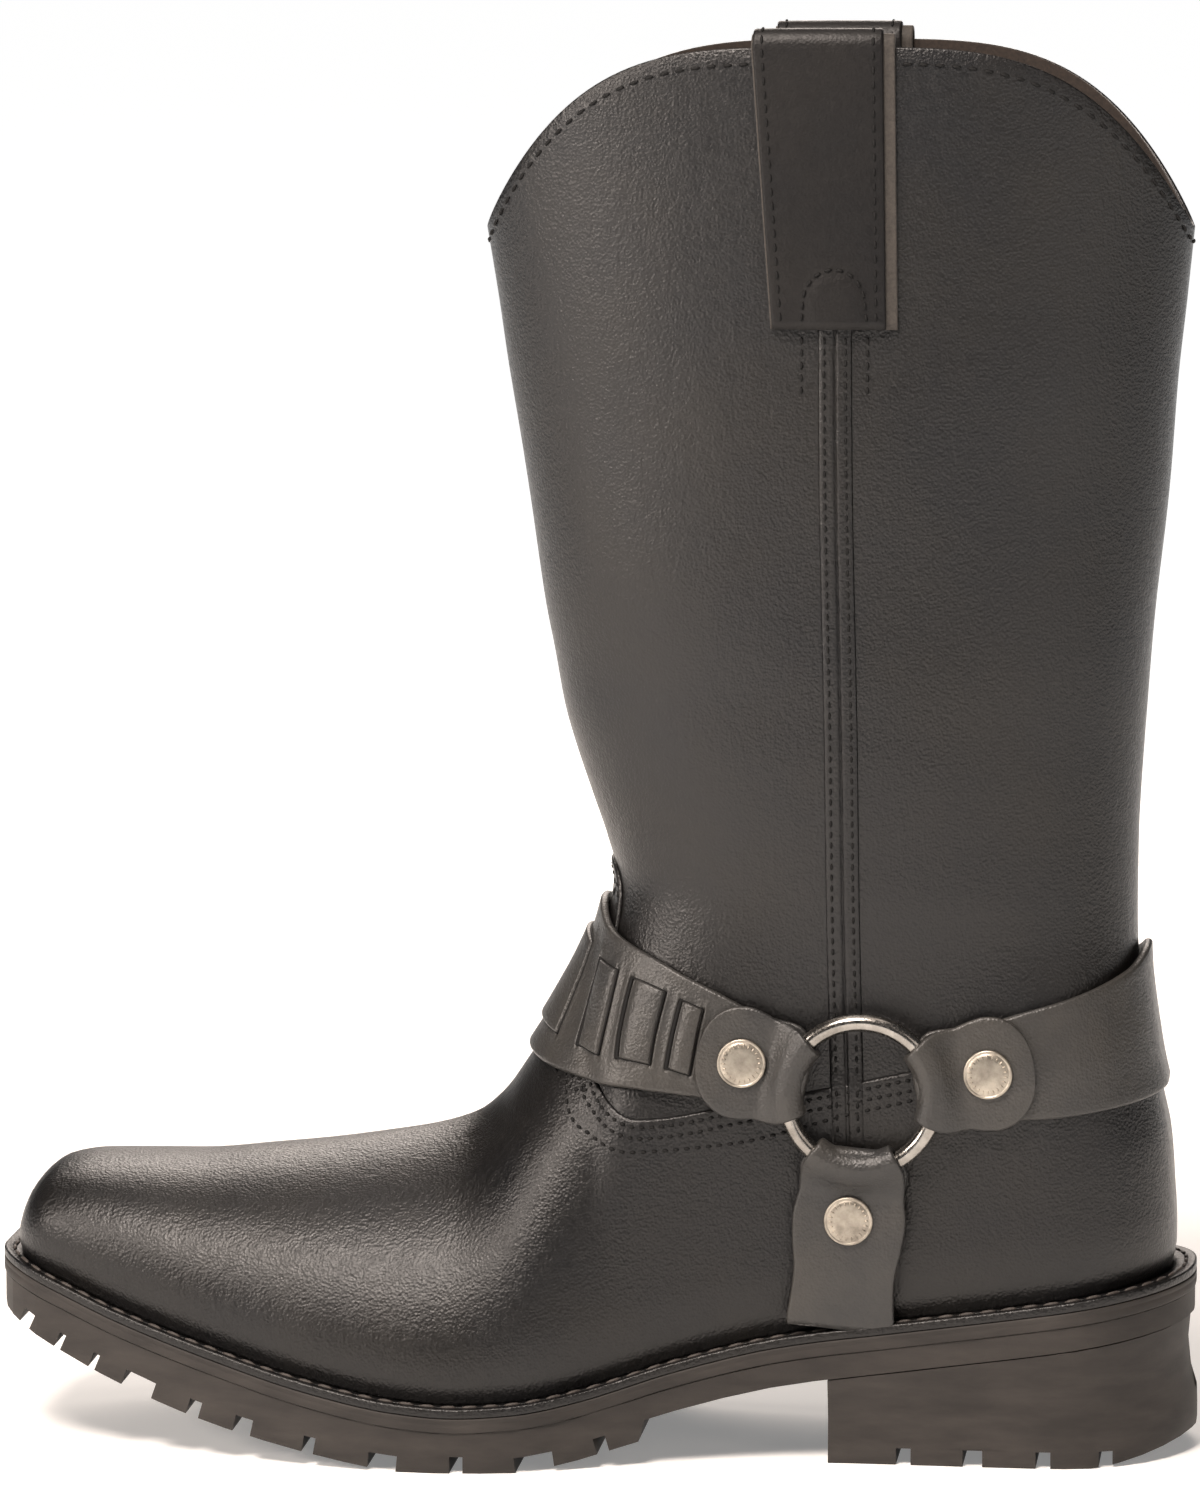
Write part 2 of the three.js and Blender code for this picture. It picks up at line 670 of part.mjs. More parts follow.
function makeUpper() {
  const outer = [];
  const inner = [];
  levels.forEach((row, level) => {
    const wall = lerp(vampWall, shaftWall, smooth(level, ankleStart, footLevels.length));
    const outside = [];
    const inside = [];
    for (let k = 0; k < aroundUpper; k += 1) {
      const turn = (2 * Math.PI * k) / aroundUpper;
      const point = upperPoint(level, turn);
      const normal = upperNormal(level, turn);
      const inward = level === 0 ? vec(normal.x, normal.y, 0).normalize() : normal;
      const lining = point.clone().addScaledVector(inward, -wall);
      if (level === 0) lining.z = seat(lining.x);
      inside.push(lining);
      if (level > 0) point.addScaledVector(normal, vampLift(point, level, turn));
      outside.push(point);
    }
    outer.push(outside);
    if (level % 2 === 0) inner.push(inside);
  });
  add("upper", "leather", loft([...outer, ...inner.reverse()], true));
}

// The level and turn of a place given in the side view.
function locate(x, z, side) {
  let [low, high] = [0, topLevel];
  const shareAt = (level) => {
    const [front, back] = [byLevel.front(level), byLevel.back(level)];
    return clamp((x - front) / (back - front), 0, 1);
  };
  for (let i = 0; i < 24; i += 1) {
    const middle = (low + high) / 2;
    const share = shareAt(middle);
    if (levelHeight(middle, share, Math.acos(1 - 2 * share)) < z) low = middle;
    else high = middle;
  }
  return { level: low, turn: side * Math.acos(1 - 2 * shareAt(low)) };
}

// A point this far out from the upper's surface.
function above(place, height) {
  const normal = upperNormal(place.level, place.turn);
  return upperPoint(place.level, place.turn).addScaledVector(normal, height);
}

// A closed ring of points across a leather strip: its outer face one way, its inner face back.
function across(places, inner, outer) {
  const outside = places.map((place, i) => above(place, outer[i]));
  const inside = places.map((place) => above(place, inner));
  return [...outside, ...inside.reverse()];
}

// The level that meets the front or the back of the boot at a height.
function levelAt(column, z) {
  const rows = levels.map((row) => ({ level: row.level, z: row[column] }));
  const k = clamp(rows.findIndex((row) => row.z > z), 1, topLevel);
  return k - 1 + (z - rows[k - 1].z) / (rows[k].z - rows[k - 1].z);
}

// One edge of an ankle strap as functions from its middle, 0, to its end, 1.
function strapEdge(table, edge, end) {
  const middleTurn = end === "front" ? 0 : Math.PI;
  const column = end === "front" ? "frontZ" : "backZ";
  const rows = table.map((row) => {
    const z = ringHeight + row[edge] * strapWidth;
    if (row.run === 0) return { run: 0, turn: middleTurn, level: levelAt(column, z) };
    return { run: row.run, ...locate(toX(row.along), z, 1) };
  });
  const mirrored = [{ ...rows[1], run: -rows[1].run }, ...rows];
  return { turn: curve(rows, "turn", "run"), level: curve(mirrored, "level", "run") };
}

function strapPlaces(table, end) {
  const top = strapEdge(table, "top", end);
  const bottom = strapEdge(table, "bottom", end);
  return (run, share) => {
    const side = run < 0 ? -1 : 1;
    const r = Math.abs(run);
    const turn = side * lerp(bottom.turn(r), top.turn(r), share);
    return { level: lerp(bottom.level(r), top.level(r), share), turn };
  };
}

function makeFrontStrap() {
  const place = strapPlaces(frontStrapTable, "front");
  const half = [];
  for (const block of weaveBlocks) {
    half.push(block.from - weaveEdge, block.from, block.to, block.to + weaveEdge);
  }
  half.push(0.08, 0.16, 0.296, 0.41, 0.585, 0.87, 1);
  const runs = half.filter((run) => run > 0).sort((a, b) => a - b);
  const all = [...runs.map((run) => -run).reverse(), 0, ...runs];
  const shares = [0, 0.18, 0.21, 0.79, 0.82, 1];
  const inBlock = (run) => weaveBlocks.some((b) => Math.abs(run) >= b.from && Math.abs(run) <= b.to);
  // The slits lean with the strap on the boot's sides, and stand straight at its front and end.
  const lean = (run) => {
    const onSide = smooth(Math.abs(run), 0.2, 0.5) * (1 - smooth(Math.abs(run), 0.8, 1));
    return Math.sign(run) * weaveLean * onSide;
  };
  const rings = all.map((run) => {
    const rise = inBlock(run) ? weaveRise : 0;
    const outer = shares.map((share) => {
      const woven = share > 0.19 && share < 0.81 ? rise : 0;
      return harnessLift + strapThickness + woven;
    });
    const places = shares.map((share) => place(run + lean(run) * (share - 0.5), share));
    return across(places, harnessLift, outer);
  });
  add("front_strap", "strapLeather", loft(rings));
}

function makeBackStrap() {
  const place = strapPlaces(backStrapTable, "back");
  const shares = [0, 0.25, 0.5, 0.75, 1];
  const outer = shares.map(() => harnessLift + strapThickness);
  const rings = [];
  for (let i = -10; i <= 10; i += 1) {
    rings.push(across(shares.map((share) => place(i / 10, share)), harnessLift, outer));
  }
  add("back_strap", "strapLeather", loft(rings));
}

// The plane in which a ring lies, clear of the upper where each tab's fold holds it.
function ringPlane(side) {
  const held = Object.values(tabs).map((tab) => {
    const x = ringX + ringRadius * Math.cos(tab.angle);
    const z = ringHeight + ringRadius * Math.sin(tab.angle);
    return above(locate(x, z, side), ringStand);
  });
  const normal = held[1].clone().sub(held[0]).cross(held[2].clone().sub(held[0])).normalize();
  normal.multiplyScalar(Math.sign(normal.y) * side);
  const slope = normal.x * (ringX - held[0].x) + normal.z * (ringHeight - held[0].z);
  const centre = vec(ringX, held[0].y - slope / normal.y, ringHeight);
  const along = vec(1, 0, 0).addScaledVector(normal, -normal.x).normalize();
  const up = vec(0, 0, 0).crossVectors(normal, along).multiplyScalar(-side);
  return { centre, normal, along, up };
}

// A point of a tab: u from the ring's centre, w across, over the ring's plane and over the upper.
function tabPoint(plane, tab, side, u, w, overPlane, overUpper) {
  const angle = tab.angle + w / ringRadius;
  const [c, s] = [Math.cos(tab.angle), Math.sin(tab.angle)];
  const far = smooth(u, ringRadius + ringWire + gap, ringRadius + drapeRun);
  const x = lerp(u * Math.cos(angle), u * c - w * s, far);
  const z = lerp(u * Math.sin(angle), u * s + w * c, far);
  const flat = plane.centre.clone().addScaledVector(plane.normal, overPlane);
  flat.addScaledVector(plane.along, x).addScaledVector(plane.up, z);
  const draped = above(locate(ringX + x, ringHeight + z, side), overUpper);
  return flat.lerp(draped, far);
}

// A leather tab that is folded round the ring's wire, with its rivet end or its long foot.
function makeTab(name, side, tab) {
  const plane = ringPlane(side);
  const half = curve(tab.widths, "half", "at");
  const fold = ringWire + ringClearance;
  const topLift = harnessLift + (tab.foot ? tabThickness : strapThickness) + gap;
  const sections = [];
  if (!tab.foot) {
    for (const turn of [1.35, 1.05, 0.7, 0.35]) {
      const wide = tabRound * Math.cos(turn) ** roundEndPower;
      const u = tab.rivet + tabEnd * Math.sin(turn);
      sections.push({ u, half: wide, inner: fold, outer: 1, over: topLift });
    }
  }
  const start = tab.foot ? tab.length : tab.rivet;
  const steps = tab.foot ? 4 : 1;
  const drapeEnd = ringRadius + drapeRun;
  const drapeStart = ringRadius + ringWire + gap;
  const leaf = [drapeEnd, (drapeEnd + drapeStart) / 2, drapeStart];
  for (let i = steps - 1; i >= 0; i -= 1) leaf.unshift(lerp(start, drapeEnd, i / steps));
  for (const u of leaf) {
    sections.push({ u, half: tabRound * half(u), inner: fold, outer: 1, over: topLift });
  }
  for (let i = 0; i <= 6; i += 1) {
    const turn = Math.PI * (0.5 + i / 6);
    sections.push({ u: ringRadius, half: tabRound * half(ringRadius), bend: turn });
  }
  const tail = tab.foot ? keeperTail : ringRadius + tabTail;
  const tailSteps = tab.foot ? 5 : 2;
  for (let i = 1; i <= tailSteps; i += 1) {
    const u = lerp(ringRadius, tail, i / tailSteps);
    const over = harnessLift + tabThickness;
    sections.push({ u, half: tabRound * half(u) - gap, inner: -fold, outer: -1, over });
  }
  const spread = [-1, -0.5, 0, 0.5, 1];
  const rings = sections.map((section) => {
    const face = (thick) =>
      spread.map((share) => {
        const w = share * section.half;
        if (section.bend !== undefined) {
          const reach = fold + thick;
          const u = section.u + reach * Math.cos(section.bend);
          return tabPoint(plane, tab, side, u, w, reach * Math.sin(section.bend), 0);
        }
        const out = section.outer * thick;
        return tabPoint(plane, tab, side, section.u, w, section.inner + out, section.over + out);
      });
    return [...face(tabThickness), ...face(0).reverse()];
  });
  add(name, "strapLeather", loft(rings));
}

function makeRing(name, side) {
  const plane = ringPlane(side);
  const geometry = new THREE.TorusGeometry(ringRadius, ringWire, 8, 26);
  const axis = vec(0, 0, 0).crossVectors(plane.along, plane.up);
  geometry.applyMatrix4(new THREE.Matrix4().makeBasis(plane.along, plane.up, axis));
  geometry.translate(plane.centre.x, plane.centre.y, plane.centre.z);
  add(name, "nickel", geometry);
}

function makeRivet(name, side, tab) {
  const plane = ringPlane(side);
  const topLift = harnessLift + (tab.foot ? tabThickness : strapThickness) + gap + tabThickness;
  const onTab = (u, w) => tabPoint(plane, tab, side, u, w, 0, topLift);
  const along = onTab(tab.rivet + rivetReach, 0).sub(onTab(tab.rivet - rivetReach, 0)).normalize();
  const up = onTab(tab.rivet, rivetReach).sub(onTab(tab.rivet, -rivetReach)).normalize();
  const normal = vec(0, 0, 0).crossVectors(along, up).normalize();
  normal.multiplyScalar(Math.sign(normal.y) * side);
  const base = onTab(tab.rivet, 0).addScaledVector(normal, gap + rivetSeat);
  const rings = rivetTable.map((row) => {
    const ring = [];
    for (let k = 0; k < 14; k += 1) {
      const turn = (Math.PI * k) / 7;
      const point = base.clone().addScaledVector(normal, row.up * rivetRise);
      point.addScaledVector(along, row.out * rivetRadius * Math.cos(turn));
      ring.push(point.addScaledVector(up, row.out * rivetRadius * Math.sin(turn)));
    }
    return ring;
  });
  add(name, "nickel", loft(rings));
}

// A pull strap goes up the outside, over the collar and down the inside.
function makePull(name, side) {
  const bottom = collarHeight + collarArch - pullDrop;
  const rim = collarHeight + collarArch - pullBelowRim;
  const middle = (z) => toX(lerp(pullFoot, pullTop, (z - bottom) / pullDrop));
  const half = (z) => (pullWidth / 2) * lerp(0.92, 1.04, (z - bottom) / pullDrop);
  const spread = [-1, -0.33, 0.33, 1];
  const ringAt = (z, point) => {
    const places = spread.map((share) => locate(middle(z) + share * half(z), z, side));
    const face = (thick) => places.map((place) => point(place, thick));
    return [...face(pullThickness), ...face(0).reverse()];
  };
  const rings = [];
  for (let i = 0; i <= 5; i += 1) {
    const z = lerp(bottom, rim, i / 5);
    rings.push(ringAt(z, (place, thick) => above(place, drapeGap + thick)));
  }
  for (let i = 1; i < 6; i += 1) {
    const turn = (Math.PI * i) / 6;
    const bend = (place, thick) => {
      const reach = (shaftWall / 2 + drapeGap + thick) * Math.cos(turn) - shaftWall / 2;
      return above(place, reach).add(vec(0, 0, (pullLoop + thick) * Math.sin(turn)));
    };
    rings.push(ringAt(rim, bend));
  }
  for (let i = 0; i <= 5; i += 1) {
    const z = lerp(rim, bottom, i / 5);
    rings.push(ringAt(z, (place, thick) => above(place, -shaftWall - drapeGap - thick)));
  }
  add(name, "strapLeather", loft(rings));
}

// The raised strip down the side of the shaft, from under the pull strap to the vamp.
function makeSeam(name, side) {
  const from = collarHeight + collarArch - pullDrop - seamTuck;
  const to = ringHeight + seamPastRing;
  const rings = [];
  for (let i = 0; i <= 11; i += 1) {
    const z = lerp(from, to, i / 11);
    const x = toX(lerp(pullFoot, seamFoot, i / 11));
    const places = [-0.5, 0, 0.5].map((share) => locate(x + share * seamWidth, z, side));
    rings.push(across(places, gap, places.map(() => gap + seamRise)));
  }
  add(name, "leather", loft(rings));
}

makeWelt();
makeMidsole();
makeInsole();
makeOutsole();
makeHeel();
makeUpper();
makeFrontStrap();
makeBackStrap();
for (const [word, side] of [["outer", -1], ["inner", 1]]) {
  makeRing("ring_" + word, side);
  makePull("pull_strap_" + word, side);
  makeSeam("side_seam_" + word, side);
  for (const [tabName, tab] of Object.entries(tabs)) {
    makeTab(tabName + "_" + word, side, tab);
    makeRivet(tabName + "_rivet_" + word, side, tab);
  }
}

const box = new THREE.Box3().setFromObject(boot);
const centre = box.getCenter(vec(0, 0, 0));
boot.position.set(-centre.x, -centre.y, -box.min.z);

export default boot;
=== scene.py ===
import math

import bmesh
import bpy
import numpy as np
from mathutils import Matrix, Vector


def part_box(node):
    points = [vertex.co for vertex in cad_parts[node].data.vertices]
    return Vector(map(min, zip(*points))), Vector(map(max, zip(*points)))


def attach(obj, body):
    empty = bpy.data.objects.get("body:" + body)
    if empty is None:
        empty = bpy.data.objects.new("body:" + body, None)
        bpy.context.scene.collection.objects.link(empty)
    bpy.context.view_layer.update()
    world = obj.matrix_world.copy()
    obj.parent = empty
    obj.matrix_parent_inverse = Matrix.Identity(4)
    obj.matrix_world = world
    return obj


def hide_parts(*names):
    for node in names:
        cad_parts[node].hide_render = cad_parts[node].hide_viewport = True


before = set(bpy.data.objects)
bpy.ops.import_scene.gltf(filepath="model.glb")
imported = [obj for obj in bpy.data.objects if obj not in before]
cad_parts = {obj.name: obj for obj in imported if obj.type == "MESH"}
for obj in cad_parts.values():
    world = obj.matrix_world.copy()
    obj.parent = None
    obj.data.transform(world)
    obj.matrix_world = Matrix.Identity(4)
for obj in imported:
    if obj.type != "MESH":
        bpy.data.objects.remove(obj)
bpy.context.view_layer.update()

# A left harness boot. Shapes are worked out in millimetres, with X from toe to heel, minus Y the
# outer side and Z up, and go into the frame in metres.
mm = 0.001
collection = bpy.context.scene.collection

# The last's shape, as the solids have it. Shares of the lengths named beside them.
sole = {
    "length": 305, "ball": 107, "waist": 75, "heel": 76, "toe": 54, "toeCorner": 15,
    "heelRound": 35, "heelRise": 48, "ledge": 5.5, "welt": 2.4, "midsole": 3.3,
}
upper = {
    "vamp": 60, "ankle": 98, "collar": 309, "arch": 45.5, "archPower": 3.8, "width": 78,
    "vampWall": 2.8, "shaftWall": 2.2, "swell": 2.4, "swellHeight": 18, "seatGap": 0.4,
    "ankleStart": 12, "roundness": 2.2, "ridgeRun": 9,
}
outlineRows = [  # along, which width, outer half, inner half
    (0, "toe", 0.5, 0.5), (0.05, "toe", 0.62, 0.6), (0.11, "ball", 0.375, 0.35),
    (0.2, "ball", 0.445, 0.41), (0.3, "ball", 0.51, 0.455), (0.38, "ball", 0.535, 0.465),
    (0.45, "ball", 0.515, 0.445), (0.53, "waist", 0.61, 0.54), (0.62, "waist", 0.535, 0.48),
    (0.72, "heel", 0.49, 0.47), (0.85, "heel", 0.5, 0.5), (1, "heel", 0.49, 0.49),
]
weltRows = [  # along, height of the welt's top
    (0, 0.99), (0.02, 0.95), (0.055, 0.87), (0.11, 0.74), (0.186, 0.59), (0.27, 0.45),
    (0.35, 0.36), (0.4, 0.34), (0.44, 0.352), (0.5, 0.41), (0.577, 0.55), (0.656, 0.67),
    (0.75, 0.755), (0.88, 0.875), (1, 0.99),
]
footRows = [  # front, height there, back, height there, how much it keeps the welt's curve
    (0.018, 0, 0.979, 0, 1), (0.0175, 0.07, 0.9797, 0.041, 1), (0.02, 0.17, 0.9797, 0.092, 1),
    (0.029, 0.287, 0.979, 0.148, 1), (0.046, 0.387, 0.9777, 0.204, 1),
    (0.0738, 0.468, 0.9767, 0.255, 1), (0.116, 0.553, 0.9754, 0.306, 1),
    (0.1656, 0.638, 0.9734, 0.357, 1), (0.218, 0.742, 0.97, 0.408, 1),
    (0.2705, 0.838, 0.9662, 0.459, 1), (0.3197, 0.925, 0.9623, 0.51, 1),
    (0.3623, 0.99, 0.959, 0.561, 1), (0.3967, 1.058, 0.9564, 0.612, 0.95),
    (0.4213, 1.158, 0.954, 0.663, 0.88), (0.4426, 1.303, 0.9518, 0.714, 0.79),
    (0.4607, 1.433, 0.9498, 0.77, 0.68), (0.4787, 1.57, 0.9488, 0.827, 0.56),
    (0.495, 1.708, 0.9482, 0.883, 0.43), (0.5082, 1.86, 0.948, 0.939, 0.3),
    (0.5157, 2.033, 0.948, 0.99, 0.18),
]
shaftRows = [  # front, height there, back, height there, welt's curve, share of the arch
    (0.5072, 0.05, 0.9485, 0.07, 0.09, 0), (0.494, 0.122, 0.95, 0.138, 0.03, 0),
    (0.4816, 0.192, 0.9525, 0.21, 0, 0.04), (0.4672, 0.307, 0.9574, 0.314, 0, 0.12),
    (0.4541, 0.442, 0.963, 0.448, 0, 0.26), (0.441, 0.589, 0.9695, 0.589, 0, 0.45),
    (0.4292, 0.736, 0.976, 0.736, 0, 0.66), (0.4167, 0.884, 0.9833, 0.884, 0, 0.85),
    (0.4069, 0.994, 0.9892, 1, 0, 1),
]
legWidths = [0.86, 0.865, 0.87, 0.88, 0.89, 0.905, 0.925, 0.945, 0.965, 0.985, 1, 1.01, 1.005,
             0.985, 0.955, 0.91, 0.87]
ridgeRows = [  # along, how full, how round, lean to the inner side
    (0, 3.6, 2.6, 0), (0.1, 3, 2.4, 0), (0.25, 2.3, 2, 0.02), (0.4, 2, 1.8, 0.04),
    (0.52, 2, 1.9, 0.015), (0.7, 2, 2, 0),
]


# A smooth reading of a table that never overshoots its rows.
def smoothCurve(keys, values):
    keys, values = np.array(keys, float), np.array(values, float)
    steps = np.diff(values) / np.diff(keys)
    slopes = np.zeros(len(keys))
    slopes[0], slopes[-1] = steps[0], steps[-1]
    for i in range(1, len(keys) - 1):
        if steps[i - 1] * steps[i] > 0:
            slopes[i] = 2 * steps[i - 1] * steps[i] / (steps[i - 1] + steps[i])

    def read(value):
        v = np.clip(np.asarray(value, float), keys[0], keys[-1])
        k = np.clip(np.searchsorted(keys, v, side="right") - 1, 0, len(keys) - 2)
        h = keys[k + 1] - keys[k]
        t = (v - keys[k]) / h
        start = (1 + 2 * t) * (1 - t) ** 2 * values[k] + t * (1 - t) ** 2 * h * slopes[k]
        return start + t * t * (3 - 2 * t) * values[k + 1] + t * t * (t - 1) * h * slopes[k + 1]
    return read


def column(rows, index):
    return smoothCurve([row[0] for row in rows], [row[index] for row in rows])


def smoothStep(value, low, high):
    t = np.clip((np.asarray(value, float) - low) / (high - low), 0, 1)
    return t * t * (3 - 2 * t)


def mix(a, b, share):
    return a + (b - a) * share


def toX(along):
    return (along - 0.5) * sole["length"]


def toAlong(x):
    return x / sole["length"] + 0.5


outerHalf, innerHalf = (smoothCurve([row[0] for row in outlineRows],
                                    [row[i] * sole[row[1]] for row in outlineRows])
                        for i in (2, 3))
weltShare = column(weltRows, 1)
ridgeFull, ridgeRound, ridgeLean = (column(ridgeRows, i) for i in (1, 2, 3))

# Where the solids' own middle lies in the frame.
weltLow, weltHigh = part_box("welt")
shift = np.array([(weltLow[0] + weltHigh[0]) / 2 / mm,
                  weltLow[1] / mm + float(outerHalf(0.38)), 0])


def weltTop(x):
    return sole["heelRise"] * weltShare(toAlong(x))


def seat(x):
    return weltTop(x) + upper["seatGap"]


def cornerLoss(distance, radius):
    inside = np.maximum(distance, 0)
    loss = radius - np.sqrt(np.maximum(radius ** 2 - (radius - inside) ** 2, 0))
    return np.where(distance >= radius, 0, loss)


def halfWidth(x, side, inset, fromToe, fromHeel):
    plain = np.where(side < 0, outerHalf(toAlong(x)), innerHalf(toAlong(x)))
    heelRadius = np.maximum(np.minimum(sole["heelRound"], plain - 1) - inset, 1)
    toe = cornerLoss(fromToe, max(sole["toeCorner"] - inset, 1))
    return plain - inset - toe - cornerLoss(fromHeel, heelRadius)


# Levels run up from the welt to the collar, turns run round from the front.
ankleTop = float(seat(sole["length"] / 2)) + upper["ankle"]
levelRows = []
for front, frontUp, back, backUp, follow in footRows:
    levelRows.append([toX(front), toX(back), float(seat(toX(front))) + frontUp * upper["vamp"],
                      float(seat(toX(back))) + backUp * upper["ankle"], follow, 0])
for front, frontUp, back, backUp, follow, arch in shaftRows:
    levelRows.append([toX(front), toX(back), mix(ankleTop, upper["collar"], frontUp),
                      mix(ankleTop, upper["collar"], backUp), follow, arch])
for i, row in enumerate(levelRows):
    row.append(upper["width"] / 2 * legWidths[min(max(i - upper["ankleStart"], 0), 16)])
levelCount = len(levelRows)
topLevel = levelCount - 1
levelOf = {}
for i, word in enumerate(("front", "back", "frontZ", "backZ", "follow", "arch", "wide")):
    levelOf[word] = smoothCurve(range(levelCount), [row[i] for row in levelRows])
throatX = levelRows[len(footRows) - 1][0]
ridgeZ = column(levelRows[1:len(footRows)], 2)


def levelHeight(level, share, turn):
    front, back = levelOf["front"](level), levelOf["back"](level)
    follow = levelOf["follow"](level)
    frontUp = levelOf["frontZ"](level) - follow * seat(front)
    backUp = levelOf["backZ"](level) - follow * seat(back)
    bow = 1 - np.abs(np.cos(turn)) ** upper["archPower"]
    arch = levelOf["arch"](level) * upper["arch"] * bow
    return mix(frontUp, backUp, share) + follow * seat(mix(front, back, share)) + arch


def footHalf(x, z, side, fromHeel):
    along, rise = toAlong(x), z - seat(x)
    rounded = 1 - (1 - np.clip(rise / upper["swellHeight"], 0, 1)) ** 2
    plan = halfWidth(x, side, sole["ledge"], x - levelRows[0][0], fromHeel)
    plan = plan + upper["swell"] * rounded
    ridge = np.where(x < throatX, ridgeZ(x), ridgeZ(throatX) + (x - throatX) * upper["ridgeRun"])
    up = np.clip(rise / (ridge - seat(x)), 0, 1)
    narrow = (1 - up ** ridgeFull(along)) ** (1 / ridgeRound(along))
    return side * mix(side * ridgeLean(along) * sole["ball"], plan, narrow)


# Soft waves of the worn-in shaft, in millimetres out from the last.
leg = {"wave": 0.4, "from": 152, "full": 200, "fadeFrom": 270, "fadeTo": 300, "fold": 0.35}


def legWave(turn, z):
    wave = (np.sin(z / 19 + 2 * turn + 0.6) * np.sin(turn + z / 41)
            + 0.5 * np.sin(z / 10.5 - 3 * turn) * np.sin(2 * turn + 0.8))
    fold = np.exp(-((z - 176 - 9 * np.cos(turn)) / 7) ** 2) - np.exp(
        -((z - 190 - 12 * np.cos(turn)) / 8) ** 2)
    held = smoothStep(z, leg["from"], leg["full"]) * (
        1 - smoothStep(z, leg["fadeFrom"], leg["fadeTo"]))
    onFront = 0.5 + 0.5 * np.cos(turn)
    return held * (leg["wave"] * wave + leg["fold"] * fold * onFront)


def lastPoint(level, turn):
    level, turn = np.broadcast_arrays(np.asarray(level, float), np.asarray(turn, float))
    share = (1 - np.cos(turn)) / 2
    side = np.where(np.sin(turn) < 0, -1.0, 1.0)
    front, back = levelOf["front"](level), levelOf["back"](level)
    x = mix(front, back, share)
    z = levelHeight(level, share, turn)
    legShare = smoothStep(level, upper["ankleStart"] - 1, len(footRows) + 1)
    oval = (1 - np.abs(np.cos(turn)) ** upper["roundness"]) ** (1 / upper["roundness"])
    onAxis = np.abs(np.sin(turn)) < 1e-6
    ridge = ridgeLean(toAlong(x)) * sole["ball"] * (share < 0.5)
    foot = np.where(onAxis, ridge, footHalf(x, z, side, back - x))
    y = mix(foot, side * levelOf["wide"](level) * oval, legShare)
    return np.stack([x, y, z], -1)


def lastNormal(level, turn):
    level, turn = np.broadcast_arrays(np.asarray(level, float), np.asarray(turn, float))
    around = lastPoint(level, turn + 0.02) - lastPoint(level, turn - 0.02)
    up = (lastPoint(np.minimum(level + 0.2, topLevel), turn)
          - lastPoint(np.maximum(level - 0.2, 0), turn))
    normal = np.cross(up, around)
    return normal / np.linalg.norm(normal, axis=-1, keepdims=True)


# A point this far out from the last, or from the shaft's waves where it has them.
def skin(level, turn, out=0.0):
    point = lastPoint(level, turn)
    lift = np.asarray(out) + legWave(np.asarray(turn, float), point[..., 2])
    return point + lastNormal(level, turn) * lift[..., None]


# Level and turn of a place in the side view.
def locate(x, z, side):
    x, z = np.broadcast_arrays(np.asarray(x, float), np.asarray(z, float))
    low, high = np.zeros(x.shape), np.full(x.shape, float(topLevel))

    def shareAt(level):
        front, back = levelOf["front"](level), levelOf["back"](level)
        return np.clip((x - front) / (back - front), 0, 1)

    for i in range(26):
        middle = (low + high) / 2
        share = shareAt(middle)
        under = levelHeight(middle, share, np.arccos(1 - 2 * share)) < z
        low, high = np.where(under, middle, low), np.where(under, high, middle)
    return low, side * np.arccos(1 - 2 * shareAt(low))


# A point this far out from the last itself.
def overLast(at, out):
    return lastPoint(*at) + lastNormal(*at) * np.asarray(out)[..., None]


def toFrame(points):
    return (np.asarray(points) + shift) * mm


# Distance along a line to each of its points.
def runAlong(points):
    return np.concatenate([[0], np.cumsum(np.linalg.norm(np.diff(points, axis=0), axis=1))])


def axesMatrix(along, across, out):
    return Matrix((along, across, out)).transposed().to_4x4()


# Pieces

def newObject(name, data):
    made = bpy.data.objects.new(name, data)
    collection.objects.link(made)
    return made


def readyMesh(bm, name, material, body="boot", sharp=None):
    mesh = bpy.data.meshes.new(name)
    bm.to_mesh(mesh)
    bm.free()
    mesh.polygons.foreach_set("use_smooth", [True] * len(mesh.polygons))
    if sharp:
        mesh.set_sharp_from_angle(angle=math.radians(sharp))
    mesh.materials.append(material)
    piece = newObject(name, mesh)
    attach(piece, body)
    return piece


# A grid whose points are laid by a function of its two shares; seams that meet are welded, open
# ends are closed, and the faces point out.
def layGrid(columns, rows, place):
    bm = bmesh.new()
    bmesh.ops.create_grid(bm, x_segments=columns, y_segments=rows, size=0.5)
    flat = np.array([vertex.co[:] for vertex in bm.verts]) + 0.5
    for vertex, point in zip(bm.verts, toFrame(place(flat[:, 0], flat[:, 1]))):
        vertex.co = point
    bmesh.ops.remove_doubles(bm, verts=bm.verts, dist=2e-6)
    bmesh.ops.dissolve_degenerate(bm, edges=bm.edges, dist=1e-7)
    bmesh.ops.holes_fill(bm, edges=[e for e in bm.edges if e.is_boundary], sides=0)
    bmesh.ops.recalc_face_normals(bm, faces=bm.faces)
    return bm


# Section of a leather strip: across (-1 to 1), distance in from that edge, height.
def stripSection(thickness, edge, inner, dome=0.0):
    half = [(0, 0.45), (0.08, 0.68), (0.3, 0.86), (0.62, 0.96), (1, 1)]
    under = [(0.06, 0.2), (0.3, 0.05), (0.7, 0)]
    loop = [(-1, edge * e, thickness * h) for e, h in half]
    for i in range(1, 2 * inner):
        s = i / inner - 1
        loop.append((s, edge * abs(s), thickness + dome * (1 - s * s)))
    loop += [(1, edge * e, thickness * h) for e, h in half[::-1] + under]
    loop += [(-1, edge * e, thickness * h) for e, h in under[::-1]]
    return np.array(loop + loop[:1])


